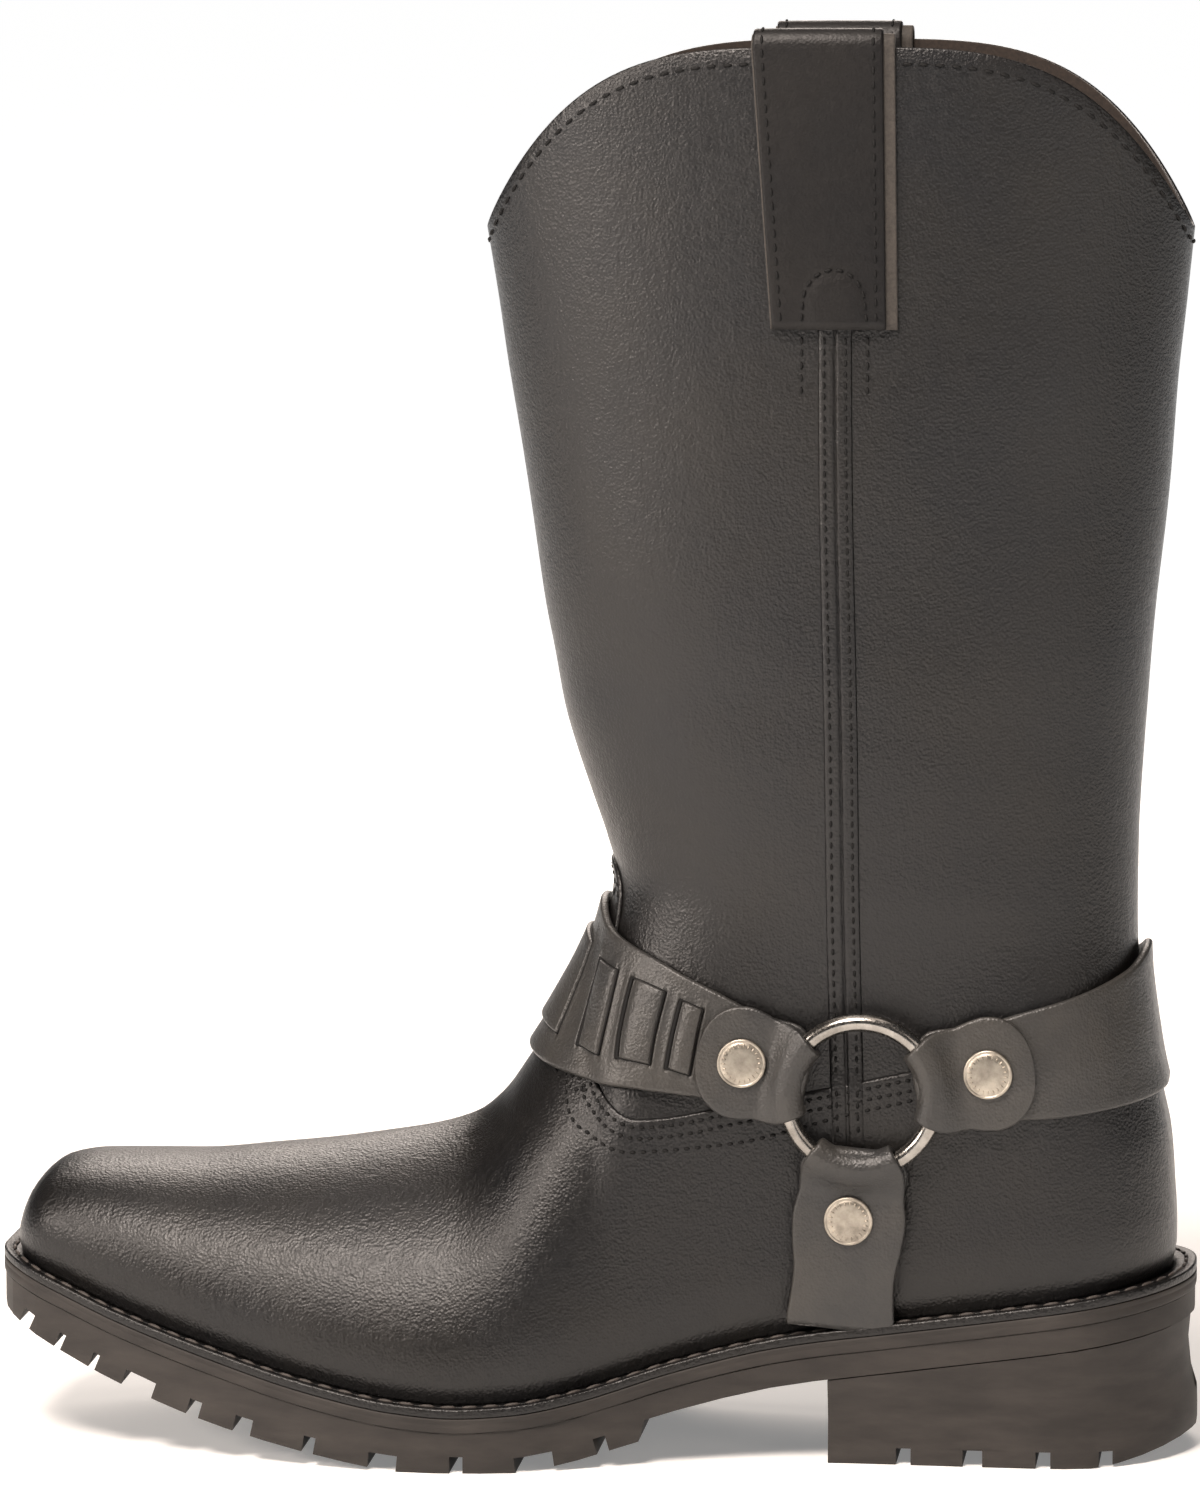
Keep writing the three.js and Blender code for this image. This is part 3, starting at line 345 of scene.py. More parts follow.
# A strip through stations; place gets each point's station, across, inset and height.
def layStrip(stations, section, place):
    columns, rows = stations - 1, len(section) - 1

    def lay(u, v):
        i = np.rint(u * columns).astype(int)
        j = np.rint(v * rows).astype(int)
        return place(i, section[j, 0], section[j, 1], section[j, 2])
    return layGrid(columns, rows, lay)


# Short rounded stitches along a line of points with their normals.
def sewRow(bm, points, normals, pitch, long, thick):
    run = runAlong(points)
    count = max(int(run[-1] / pitch), 1)
    size = Matrix.Diagonal((long / 2 * mm, thick / 2 * mm, thick / 2 * mm, 1))
    reach = 0.4

    def read(rows, at):
        return np.array([np.interp(at, run, rows[:, i]) for i in range(3)])

    for k in range(count):
        at = (k + 0.5) * run[-1] / count
        along = Vector(read(points, at + reach) - read(points, at - reach)).normalized()
        out = Vector(read(normals, at)).normalized()
        turn = axesMatrix(along, out.cross(along).normalized(), out)
        spot = Matrix.Translation(toFrame(read(points, at)))
        bmesh.ops.create_uvsphere(bm, u_segments=8, v_segments=5, radius=1,
                                  matrix=spot @ turn @ size)


# The same along places in the side view, smoothed.
def sewOnSide(bm, places, side, out, pitch, long, thick):
    places = np.array(places, float)
    run = runAlong(places)
    fine = np.linspace(0, run[-1], max(int(run[-1] / 1.2), 3))
    at = locate(smoothCurve(run, places[:, 0])(fine), smoothCurve(run, places[:, 1])(fine), side)
    sewRow(bm, skin(*at, out), lastNormal(*at), pitch, long, thick)


# Materials

def linear(colour):
    parts = [int(colour[i:i + 2], 16) / 255 for i in (1, 3, 5)]
    return [c / 12.92 if c <= 0.04045 else ((c + 0.055) / 1.055) ** 2.4 for c in parts] + [1]


# Links each named socket to what feeds it, or gives it a value.
def feed(tree, node, feeds):
    for word, value in feeds.items():
        if isinstance(value, bpy.types.NodeSocket):
            tree.links.new(value, node.inputs[word])
        else:
            node.inputs[word].default_value = value


# Adds a node with its settings, a ramp's stops and what feeds its sockets.
def addNode(tree, kind, feeds, stops=(), **settings):
    node = tree.nodes.new("ShaderNode" + kind)
    for word, value in settings.items():
        setattr(node, word, value)
    for i, (position, colour) in enumerate(stops):
        node.color_ramp.elements[i].position = position
        node.color_ramp.elements[i].color = linear(colour)
    feed(tree, node, feeds)
    return node


def newMaterial(name):
    material = bpy.data.materials.new(name)
    material.use_nodes = True
    tree = material.node_tree
    place = addNode(tree, "TexCoord", {}).outputs["Object"]
    return material, tree, tree.nodes["Principled BSDF"], place


# Full-grain leather, drum dyed black and lightly waxed: a soft broad sheen over a fine pebble of
# pores, with stretch lines, and colour that drifts between blue black and a warm brown black.
def makeLeather(name, look):
    material, tree, shader, place = newMaterial(name)
    drift = addNode(tree, "TexNoise", {"Vector": place, "Scale": 1 / (look["drift"] * mm),
                                       "Detail": 4.0, "Roughness": 0.6}).outputs["Fac"]
    tint = addNode(tree, "ValToRGB", {"Fac": drift}, ((0.36, look["dark"]),
                                                    (0.66, look["light"])))
    pebble = addNode(tree, "TexVoronoi", {"Vector": place, "Scale": 1 / (look["grain"] * mm),
                                          "Randomness": 1.0}, feature="F1")
    pores = addNode(tree, "TexNoise", {"Vector": place, "Scale": 1 / (look["grain"] * 2.6 * mm),
                                       "Detail": 6.0, "Roughness": 0.7})
    stretch = addNode(tree, "Mapping", {"Vector": place, "Scale": (1.0, 1.0, 0.35),
                                        "Rotation": (0.3, 0.6, 0.0)})
    lines = addNode(tree, "TexNoise", {"Vector": stretch.outputs["Vector"],
                                       "Scale": 1 / (look["crease"] * mm), "Detail": 5.0,
                                       "Roughness": 0.65, "Distortion": 1.4})
    relief = addNode(tree, "Math", {0: pores.outputs["Fac"], 1: 0.8, 2: lines.outputs["Fac"]},
                     operation="MULTIPLY_ADD")
    relief = addNode(tree, "Math", {0: pebble.outputs["Distance"], 1: 0.55,
                                    2: relief.outputs[0]}, operation="MULTIPLY_ADD")
    bump = addNode(tree, "Bump", {"Height": relief.outputs[0], "Strength": look["relief"],
                                  "Distance": look["depth"] * mm})
    rough = addNode(tree, "MapRange", {"Value": pores.outputs["Fac"], "From Min": 0.3,
                                       "From Max": 0.7, "To Min": look["rough"] - 0.06,
                                       "To Max": look["rough"] + 0.08})
    feed(tree, shader, {"Base Color": tint.outputs["Color"], "Normal": bump.outputs["Normal"],
                        "Roughness": rough.outputs["Result"], "IOR": 1.5,
                        "Specular IOR Level": look["gloss"]})
    return material


# Black sole rubber, moulded and buffed on the edge: matt, with faint bands along the layers.
def makeRubber(name, look):
    material, tree, shader, place = newMaterial(name)
    layers = addNode(tree, "Mapping", {"Vector": place, "Scale": (1.0, 1.0, look["bands"])})
    band = addNode(tree, "TexNoise", {"Vector": layers.outputs["Vector"],
                                      "Scale": 1 / (look["drift"] * mm), "Detail": 5.0,
                                      "Roughness": 0.6}).outputs["Fac"]
    speck = addNode(tree, "TexNoise", {"Vector": place, "Scale": 1 / (look["grit"] * mm),
                                       "Detail": 3.0}).outputs["Fac"]
    tint = addNode(tree, "ValToRGB", {"Fac": band}, ((0.35, look["dark"]),
                                                    (0.7, look["light"])))
    relief = addNode(tree, "Math", {0: band, 1: 1.5, 2: speck}, operation="MULTIPLY_ADD")
    bump = addNode(tree, "Bump", {"Height": relief.outputs[0], "Strength": 0.35,
                                  "Distance": 0.12 * mm})
    feed(tree, shader, {"Base Color": tint.outputs["Color"], "Normal": bump.outputs["Normal"],
                        "Roughness": look["rough"], "Specular IOR Level": 0.35})
    return material


# Steel with antique nickel plate, tumbled: warm grey metal with fine rubbing and darker clouds.
def makeNickel(name, look):
    material, tree, shader, place = newMaterial(name)
    cloud = addNode(tree, "TexNoise", {"Vector": place, "Scale": 1 / (look["cloud"] * mm),
                                       "Detail": 5.0, "Roughness": 0.65}).outputs["Fac"]
    rub = addNode(tree, "TexNoise", {"Vector": place, "Scale": 1 / (look["rub"] * mm),
                                     "Detail": 4.0}).outputs["Fac"]
    tint = addNode(tree, "ValToRGB", {"Fac": cloud}, ((0.3, look["dark"]),
                                                    (0.62, look["light"])))
    rough = addNode(tree, "MapRange", {"Value": rub, "From Min": 0.3, "From Max": 0.7,
                                       "To Min": look["rough"] - 0.07,
                                       "To Max": look["rough"] + 0.1})
    bump = addNode(tree, "Bump", {"Height": rub, "Strength": 0.12, "Distance": 0.05 * mm})
    feed(tree, shader, {"Base Color": tint.outputs["Color"], "Normal": bump.outputs["Normal"],
                        "Roughness": rough.outputs["Result"], "Metallic": 1.0})
    return material


# Napped lining leather and bonded thread: matt fibres, so a rough face with a little sheen.
def makeNap(name, look):
    material, tree, shader, place = newMaterial(name)
    fibre = addNode(tree, "TexNoise", {"Vector": place, "Scale": 1 / (look["fibre"] * mm),
                                       "Detail": 8.0, "Roughness": 0.75}).outputs["Fac"]
    tint = addNode(tree, "ValToRGB", {"Fac": fibre}, ((0.3, look["dark"]),
                                                    (0.7, look["light"])))
    bump = addNode(tree, "Bump", {"Height": fibre, "Strength": 0.5,
                                  "Distance": look["depth"] * mm})
    feed(tree, shader, {"Base Color": tint.outputs["Color"], "Normal": bump.outputs["Normal"],
                        "Roughness": look["rough"], "Specular IOR Level": 0.3,
                        "Sheen Weight": look["sheen"]})
    return material


upperLeather = makeLeather("full_grain_upper", {
    "dark": "#0b0b0d", "light": "#13110f", "drift": 45, "grain": 0.75, "crease": 6,
    "relief": 0.6, "depth": 0.32, "rough": 0.35, "gloss": 0.5,
})
pullLeather = makeLeather("pull_strap_leather", {
    "dark": "#0c0b0c", "light": "#141211", "drift": 30, "grain": 0.75, "crease": 5,
    "relief": 0.5, "depth": 0.2, "rough": 0.45, "gloss": 0.3,
})
strapLeather = makeLeather("harness_strap_leather", {
    "dark": "#2a2a2a", "light": "#393734", "drift": 30, "grain": 0.75, "crease": 5,
    "relief": 0.6, "depth": 0.3, "rough": 0.37, "gloss": 0.55,
})
cutEdge = makeNap("burnished_cut_edge", {
    "dark": "#2b2825", "light": "#4b4641", "fibre": 0.8, "depth": 0.08, "rough": 0.62, "sheen": 0.1,
})
liningNap = makeNap("napped_lining", {
    "dark": "#1b1613", "light": "#3a3029", "fibre": 0.9, "depth": 0.25, "rough": 0.85, "sheen": 0.3,
})
threadBlack = makeNap("bonded_thread", {
    "dark": "#050505", "light": "#0c0b0b", "fibre": 0.4, "depth": 0.05, "rough": 0.7, "sheen": 0.0,
})
# Black for the ribbons round the woven blocks: painted shade of the slits.
slitShadePaint = makeNap("painted_slit_shade", {
    "dark": "#040404", "light": "#090808", "fibre": 0.5, "depth": 0.03, "rough": 0.75, "sheen": 0.0,
})
weltThread = makeNap("waxed_welt_thread", {
    "dark": "#2a2726", "light": "#57504b", "fibre": 0.5, "depth": 0.06, "rough": 0.5, "sheen": 0.1,
})
soleRubber = makeRubber("sole_rubber", {
    "dark": "#2a2725", "light": "#3a3633", "bands": 4, "drift": 22, "grit": 0.8, "rough": 0.62,
})
boardTan = makeNap("insole_board", {
    "dark": "#231b15", "light": "#43362b", "fibre": 1.2, "depth": 0.1, "rough": 0.85, "sheen": 0.0,
})
nickel = makeNickel("antique_nickel", {
    "dark": "#8a8379", "light": "#bdb5a8", "cloud": 5, "rub": 0.7, "rough": 0.36,
})
ringSteel = makeNickel("polished_ring_steel", {
    "dark": "#7c7872", "light": "#b4b0aa", "cloud": 9, "rub": 0.5, "rough": 0.2,
})
print("materials made")


# Vamp: the foot's leather, sewn over the shaft with a folded edge that dips in a U on each side.
vamp = {"columns": 320, "rows": 80, "evenAt": (0.9, 2, 3, 6), "cap": 0.07,
        "innerRows": 70, "capTop": (7, 9.5), "thick": 1.0, "lift": 0.04, "rim": 1.1, "tuck": 0.35}
vampEdgeSide = [(2.2, 98), (4, 94), (6.9, 90.8), (10, 88.5), (13.6, 87.5), (20.4, 88),
                (28.2, 89.3), (34, 90.6), (57.8, 95), (82.4, 100.4), (110, 106.5), (135, 113)]
vampEdgeFront = [(0, 149), (0.17, 147.5), (0.3, 140), (0.45, 119)]
edgeTurns = [row[0] for row in vampEdgeFront]
edgeHeights = [row[1] for row in vampEdgeFront]
for edgeX, edgeZ in vampEdgeSide:
    edgeTurns.append(float(locate(edgeX, edgeZ, 1)[1]))
    edgeHeights.append(edgeZ)
edgeTurns.append(math.pi)
edgeHeights.append(116)
edgeHeight = smoothCurve([-edgeTurns[1]] + edgeTurns, [edgeHeights[1]] + edgeHeights)


def vampEdgeLevel(turn):
    turn = np.abs(np.asarray(turn, float))
    low, high = np.full(turn.shape, 4.0), np.full(turn.shape, 23.0)
    share = (1 - np.cos(turn)) / 2
    goal = edgeHeight(turn)
    for i in range(24):
        middle = (low + high) / 2
        under = levelHeight(middle, share, turn) < goal
        low, high = np.where(under, middle, low), np.where(under, high, middle)
    return low


# The level this many millimetres below the vamp's edge.
def belowEdge(turn, drop):
    edge = vampEdgeLevel(turn)
    step = np.linalg.norm(lastPoint(edge, turn) - lastPoint(edge - 0.5, turn), axis=-1)
    slant = np.gradient(edge * 2 * step, turn)
    wide = np.linalg.norm(lastPoint(edge, turn + 0.01) - lastPoint(edge, turn - 0.01), axis=-1)
    lean = np.sqrt(1 + (slant * 0.02 / wide) ** 2)
    return edge - 0.5 * drop * lean / step


# The sewn edge in the side view, this many millimetres outside it.
def besideEdge(drop):
    edge = np.array([(-4.2, 101), (-3, 97.5)] + vampEdgeSide, float)
    run = runAlong(edge)
    fine = np.linspace(0, run[-1], 60)
    line = np.column_stack([smoothCurve(run, edge[:, 0])(fine), smoothCurve(run, edge[:, 1])(fine)])
    ahead = np.gradient(line, axis=0)
    out = np.column_stack([ahead[:, 1], -ahead[:, 0]])
    return line + drop * out / np.linalg.norm(out, axis=1, keepdims=True)


# The toe's flat front, where the last's own turns bunch up: straight across, then out to the last.
def toePoint(level, turn):
    cap = vamp["cap"]
    share = np.clip(np.abs(turn) / cap, 0, 1)
    shares = np.stack([share ** 2, share, share ** 2], -1)
    flat = mix(lastPoint(level, 0 * turn), lastPoint(level, np.where(turn < 0, -cap, cap)), shares)
    weight = (np.abs(turn) < cap) * (1 - smoothStep(level, *vamp["capTop"]))
    return mix(lastPoint(level, turn), flat, weight[:, None])


def toeNormal(level, turn):
    cap = vamp["cap"]
    across = np.clip((turn / cap + 1) / 2, 0, 1)
    flat = mix(lastNormal(level, 0 * turn - cap), lastNormal(level, 0 * turn + cap),
               across[:, None])
    weight = (np.abs(turn) < cap) * (1 - smoothStep(level, *vamp["capTop"]))
    own = lastNormal(level, np.where(weight > 0.99, cap, turn))
    normal = mix(own, flat, weight[:, None])
    return normal / np.linalg.norm(normal, axis=-1, keepdims=True)


# Turns that stand evenly round the vamp: the square toe takes many of them in a small angle.
def evenTurns():
    quarter = math.pi / 2 * np.linspace(0, 1, 1200) ** 4
    turns = np.concatenate([quarter, math.pi - quarter[-2::-1]])
    shares = np.zeros(len(turns))
    for level in vamp["evenAt"]:
        run = runAlong(toePoint(np.full(len(turns), float(level)), turns))
        shares += run / run[-1] / len(vamp["evenAt"])
    return shares, turns


def makeVamp():
    shares, turns = evenTurns()
    top, lift = vamp["thick"], vamp["lift"]
    rim = [(0.35, top - 0.04), (0.7, top - 0.2), (0.95, top - 0.45), (1.02, top - 0.75),
           (0.9, lift + 0.02)]
    # share of the way up, past the edge, out from the last (not a number where it is tucked)
    rows = [(i / vamp["rows"], 0, np.nan) for i in range(vamp["rows"] + 1)]
    rows += [(1, past, out) for past, out in rim]
    rows = np.array(rows + [(share, 0, lift) for share in np.linspace(1, 0, vamp["innerRows"])])
    total = len(rows)

    def lay(u, v):
        around = u * 2 - 1
        turn = np.sign(around) * np.interp(np.abs(around), shares, turns)
        share, past, out = rows[np.rint(v * total).astype(int) % total].T
        edge = vampEdgeLevel(turn)
        step = np.linalg.norm(lastPoint(edge, turn) - lastPoint(edge - 0.5, turn), axis=-1) * 2
        level = (edge - vamp["rim"] / step) * share + past * vamp["rim"] / step
        tucked = mix(vamp["tuck"], top, smoothStep(level, 0, 1.3))
        out = np.where(np.isnan(out), tucked, out)
        point = toePoint(level, turn) + toeNormal(level, turn) * out[:, None]
        point[:, 2] -= np.where(share == 0, upper["seatGap"], 0)
        return point

    bm = layGrid(vamp["columns"], total, lay)
    piece = readyMesh(bm, "vamp", upperLeather)
    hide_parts("upper")
    bm = bmesh.new()
    fronts = np.linspace(-0.3, 0.3, 40)
    for side in (-1, 1):
        for drop in (2.0, 4.7):
            sewOnSide(bm, besideEdge(drop), side, vamp["thick"] + 0.04, 2.5, 1.5, 0.95)
        outerRow = [(-4.3, 99.7), (-5.1, 95.5), (-4.3, 89.3), (-2, 85.1), (1.15, 83.3), (6.9, 80.4),
                    (11, 79.4), (20.4, 79.9), (29.3, 80.7), (39.7, 82), (50.6, 84.6), (64, 88.5),
                    (82, 93), (104, 99)]
        sewOnSide(bm, outerRow, side, vamp["thick"] + 0.04, 2.7, 1.6, 0.95)
    level = belowEdge(fronts, 2.0)
    sewRow(bm, overLast((level, fronts), vamp["thick"] + 0.02), lastNormal(level, fronts), 2.9,
           1.9, 0.7)
    readyMesh(bm, "vamp_stitches", threadBlack)


# Shaft and lining: two shells between the last and the leg, closed over at the collar.
shaft = {"columns": 200, "from": 9.5, "thick": 1.15, "lining": 0.05}


def shellRows(bottom, steps, inside, outside, loose):
    rows = [(mix(bottom, topLevel, i / steps), outside, 0) for i in range(steps + 1)]
    middle = (inside + outside) / 2
    rows += [(topLevel, outside - 0.12, 0.3), (topLevel, mix(outside, middle, 0.6), 0.5),
             (topLevel, mix(inside, middle, 0.6), 0.5), (topLevel, inside + 0.12, 0.3)]
    rows += [(mix(topLevel, bottom, i / loose), inside, 0) for i in range(loose + 1)]
    return np.array(rows, float)


def layShell(rows, wall=None):
    count = len(rows)

    def lay(u, v):
        turn = (u - 0.5) * 2 * math.pi
        k = np.rint(v * count).astype(int) % count
        level, out, lift = rows[k, 0], rows[k, 1], rows[k, 2]
        if wall is not None:
            deep = mix(upper["vampWall"], upper["shaftWall"],
                       smoothStep(level, upper["ankleStart"], len(footRows)))
            out = np.where(out < wall, -deep, out)
        point = skin(level, turn, out)
        point[:, 2] += lift
        return point
    return layGrid(shaft["columns"], count, lay)


def makeShaft():
    rows = shellRows(shaft["from"], 96, -shaft["thick"], 0, 70)
    piece = readyMesh(layShell(rows), "shaft", upperLeather)
    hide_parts("upper")
    start = -shaft["thick"] - shaft["lining"]
    rows = shellRows(0, 90, -upper["shaftWall"], start, 90)
    piece = readyMesh(layShell(rows, start - 0.2), "lining", liningNap)
    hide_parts("upper")
    bm = bmesh.new()
    turns = np.linspace(-math.pi, math.pi, 400)
    edge = lastPoint(topLevel, turns)
    step = np.linalg.norm(edge - lastPoint(topLevel - 0.2, turns), axis=-1)
    level = topLevel - 0.2 * 3.6 / step
    sewRow(bm, skin(level, turns, 0.08), lastNormal(level, turns), 4, 2.6, 0.95)
    readyMesh(bm, "collar_stitches", threadBlack)


makeVamp()
makeShaft()
print("upper made")


# Side seams: a raised strip with a groove down its middle and a row of stitches each side.
seam = {"width": 8.4, "rise": 0.85, "top": 290, "foot": 79.5, "stations": 100, "rows": 2.65}
seamLine = smoothCurve([80, 131, 181, 244, 282, 300], [66.4, 65, 64.4, 62.9, 62.4, 62.2])


def makeSeam(word, side):
    heights = np.linspace(seam["top"], seam["foot"], seam["stations"])
    half = [(1, 0.1), (0.94, 0.5), (0.8, 0.8), (0.62, 0.85), (0.35, 0.9), (0.2, 1.0), (0.1, 0.8),
            (0.03, 0.15)]
    section = [(-across, 0, height) for across, height in half]
    section += [(across, 0, height) for across, height in half[::-1]]
    section += [(0.5, 0, -0.1), (-0.5, 0, -0.1), section[0]]
    overVamp = vamp["thick"] * 0.62

    def place(i, across, inset, height):
        z = heights[i]
        lift = mix(0, overVamp, 1 - smoothStep(z, 96.5, 99.5))
        x = seamLine(z) + across * seam["width"] / 2
        return skin(*locate(x, z, side), lift + 0.02 + height * seam["rise"])

    piece = readyMesh(layStrip(seam["stations"], np.array(section), place), "side_seam_" + word
                      + "_strip", upperLeather)
    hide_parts("side_seam_" + word)
    bm = bmesh.new()
    for way in (-1, 1):
        for high, low, count, out in ((284, 99, 40, 0), (96, 84, 6, overVamp)):
            row = [(float(seamLine(z)) + way * seam["rows"], z)
                   for z in np.linspace(high, low, count)]
            sewOnSide(bm, row, side, out + seam["rise"] * 0.9 + 0.05, 2.7, 1.8, 0.8)
    readyMesh(bm, "side_seam_" + word + "_stitches", threadBlack)


# Pull straps: a leather facing on a wider backing, up the outside, over the collar and down.
pull = {"drop": 69, "half": 17, "top": 0.693, "foot": 0.704, "lift": 0.55, "loop": 3,
        "backing": 1.0, "facing": 1.15, "show": 2.9, "widths": (0.92, 1.04),
        "pitch": (2.9, 2.0, 0.9), "arcX": 62.2, "arcWidth": 7.6}
pull["bottom"] = upper["collar"] + upper["arch"] - pull["drop"]
pull["rim"] = upper["collar"] + upper["arch"] - 0.5


def pullMiddle(z):
    return toX(mix(pull["foot"], pull["top"], (z - pull["bottom"]) / pull["drop"]))


def pullHalf(z):
    return pull["half"] * mix(*pull["widths"], (z - pull["bottom"]) / pull["drop"])


# Runs 0 to 1 up the outside, 1 to 2 over the rim, 2 to 3 down the inside.
def pullHeight(run):
    up, down = (mix(pull["bottom"], pull["rim"], run), mix(pull["rim"], pull["bottom"], run - 2))
    return np.where(run <= 1, up, np.where(run <= 2, pull["rim"], down))


def pullPoint(run, across, thick, side):
    z = pullHeight(run)
    bend = np.clip(run - 1, 0, 1) * math.pi
    wall = upper["shaftWall"]
    reach = (wall / 2 + pull["lift"] + thick) * np.cos(bend) - wall / 2
    point = overLast(locate(pullMiddle(z) + across, z, side), reach)
    point[:, 2] += (pull["loop"] + thick) * np.sin(bend)
    return point


def makePull(word, side):
    up = np.linspace(0, 1, 34)
    runs = np.concatenate([up, 1 + np.linspace(0, 1, 18)[1:], 2 + np.linspace(0, 1, 24)[1:]])

    def placeBacking(i, across, inset, height):
        half = pullHalf(pullHeight(runs[i]))
        return pullPoint(runs[i], across * (half - inset), height, side)

    def placeFacing(i, across, inset, height):
        run = runs[i]
        z = pullHeight(run)
        half = pullHalf(z)
        w = mix(-half + 0.5 + inset, half - pull["show"] - inset, (across + 1) / 2)
        arc = np.hypot((pullMiddle(z) + w - pull["arcX"]) / pull["arcWidth"], (z - 291) / 9.5)
        raised = 0.5 * (1 - smoothStep(arc, 0.75, 1.02)) * (run <= 1) * (height > 0.6)
        return pullPoint(run, w, pull["backing"] + 0.03 + height + raised, side)

    backing = readyMesh(layStrip(len(runs), stripSection(pull["backing"], 0.5, 4), placeBacking),
                        "pull_strap_" + word + "_backing", cutEdge)
    facing = readyMesh(layStrip(len(runs), stripSection(pull["facing"], 0.7, 9), placeFacing),
                       "pull_strap_" + word + "_facing", pullLeather)
    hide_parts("pull_strap_" + word)
    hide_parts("pull_strap_" + word)
    bm = bmesh.new()
    top = pull["backing"] + pull["facing"] + 0.05
    for edge in (-1, 1):
        for runRange in ((0.02, 2.0), (2.0, 2.98)):
            run = np.linspace(runRange[0], runRange[1], 90)
            half = pullHalf(pullHeight(run))
            across = np.where(edge < 0, -half + 2.8, half - pull["show"] - 2.4)
            points = pullPoint(run, across, np.full(90, top), side)
            normals = points - pullPoint(run, across, np.full(90, top - 0.5), side)
            sewRow(bm, points, normals, 3.4, 2.3, 0.85)
    turns = np.linspace(0, math.pi, 30)
    arc = [(pull["arcX"] - pull["arcWidth"] * math.cos(t), 291.5 + 8.7 * math.sin(t))
           for t in turns]
    arc = [(54.3, 287)] + arc + [(70.3, 287)]
    sewOnSide(bm, arc, side, pull["lift"] + top + 0.25, *pull["pitch"])
    for x in (54.2, 70.5):
        sewOnSide(bm, [(x, 284.2), (x, 277), (x, 269)], side, 0.08, *pull["pitch"])
    readyMesh(bm, "pull_strap_" + word + "_stitches", threadBlack)


for sideWord, sideSign in (("outer", -1), ("inner", 1)):
    makeSeam(sideWord, sideSign)
    makePull(sideWord, sideSign)
print("shaft's strips made")


# Harness: straps round the ankle, tabs folded round the rings, and rivets.
harness = {
    "lift": 1.55, "strap": 2.0, "tab": 1.8, "ringRadius": 18.6, "wire": 2.2, "ringX": toX(0.729),
    "ringZ": 95, "strapWidth": 30, "slack": 0.45, "spare": 0.5, "gap": 0.3, "drape": 6.9,
    "tabRound": 14.2, "tabEnd": 11, "tabTail": 8.4,
}
harness["fold"] = harness["wire"] + harness["slack"]
harness["ringStand"] = harness["lift"] + harness["tab"] + harness["fold"] + harness["spare"]
frontStrapRows = [  # run, along, top edge, bottom edge
    (0, 0.49, 1.45, 0.12), (0.49, 0.533, 1.18, 0), (0.62, 0.559, 1.06, -0.02),
    (0.74, 0.585, 0.93, -0.045), (0.87, 0.611, 0.815, -0.07), (1, 0.634, 0.7, -0.115),
]
backStrapRows = [
    (0, 0.96, 1.13, -0.08), (0.3, 0.936, 0.97, -0.13), (0.6, 0.893, 0.78, -0.18),
    (0.85, 0.854, 0.67, -0.2), (1, 0.833, 0.6, -0.2),
]
weave = {"thick": 1.3, "low": 0.2, "high": 0.8, "edge": 0.005, "lean": 0.1, "deep": 0.7,
         "slow": 0.03, "cut": 0.5, "line": 0.28, "swell": 0.4, "arch": 0.45,
         "slitRun": (0.004, 0.009), "swellRun": (0.008, 0.035), "swellShare": (0.08, 0.24),
         "slitShare": (0.17, 0.2), "topFrom": (0.8, 1.9),
         "strapSteps": (0, 0.004, 0.007, 0.01, 0.014, 0.02),
         "stripSteps": (0, 0.003, 0.006, 0.009, 0.013, 0.02),
         "blocks": [(-0.237, 0.237), (0.355, 0.47), (0.528, 0.643), (0.7, 0.785),
                    (-0.47, -0.355), (-0.643, -0.528), (-0.785, -0.7)]}
tabs = {
    "front_tab": {"angle": 2.9, "rivet": 31, "foot": False, "widths": smoothCurve(
        [18.6, 22, 25, 28, 31], [0.755, 0.83, 0.9, 0.965, 1])},
    "back_tab": {"angle": 0.175, "rivet": 32.2, "foot": False, "widths": smoothCurve(
        [18.6, 22, 25.5, 29, 32.2], [0.76, 0.83, 0.9, 0.965, 1])},
    "keeper": {"angle": -1.665, "rivet": 32, "foot": True, "length": 59, "widths": smoothCurve(
        [18.6, 22.5, 27, 32, 38, 46, 59], [0.83, 0.89, 0.97, 1.02, 0.99, 0.91, 0.98])},
}


# Level and turn of a strap at a run from its middle and a share from its bottom to its top edge.
def strapPlaces(rows, atFront):
    edges = []
    runs = [row[0] for row in rows]
    for index in (3, 2):
        heights = [harness["ringZ"] + row[index] * harness["strapWidth"] for row in rows]
        turns = [0 if atFront else math.pi]
        levels = [np.interp(heights[0], [row[2 if atFront else 3] for row in levelRows],
                            range(levelCount))]
        for row, z in zip(rows[1:], heights[1:]):
            level, turn = locate(toX(row[1]), z, 1)
            turns.append(turn)
            levels.append(level)
        edges.append((smoothCurve(runs, turns),
                      smoothCurve([-runs[1]] + runs, [levels[1]] + levels)))

    def place(run, share):
        r = np.abs(run)
        turn = mix(edges[0][0](r), edges[1][0](r), share)
        level = mix(edges[0][1](r), edges[1][1](r), share)
        return level, np.where(run < 0, -1, 1) * turn
    return place


def strapWidths(place, runs):
    low = lastPoint(*place(runs, np.zeros(len(runs))))
    high = lastPoint(*place(runs, np.ones(len(runs))))
    return np.linalg.norm(high - low, axis=-1)


# The slits lean with the strap on the boot's sides.
def leaning(runs, share):
    nearSide = smoothStep(np.abs(runs), 0.2, 0.5) * (1 - smoothStep(np.abs(runs), 0.8, 1))
    return runs + np.sign(runs) * weave["lean"] * nearSide * (share - 0.5)


# Stations along a strap, closer together on both sides of each slit.
def strapRuns(reach, count, edges, steps):
    close = {round(edge + way * step, 4) for edge in edges for step in steps for way in (-1, 1)}
    return np.array(sorted(set(np.round(np.linspace(-reach, reach, count), 4)) | close))


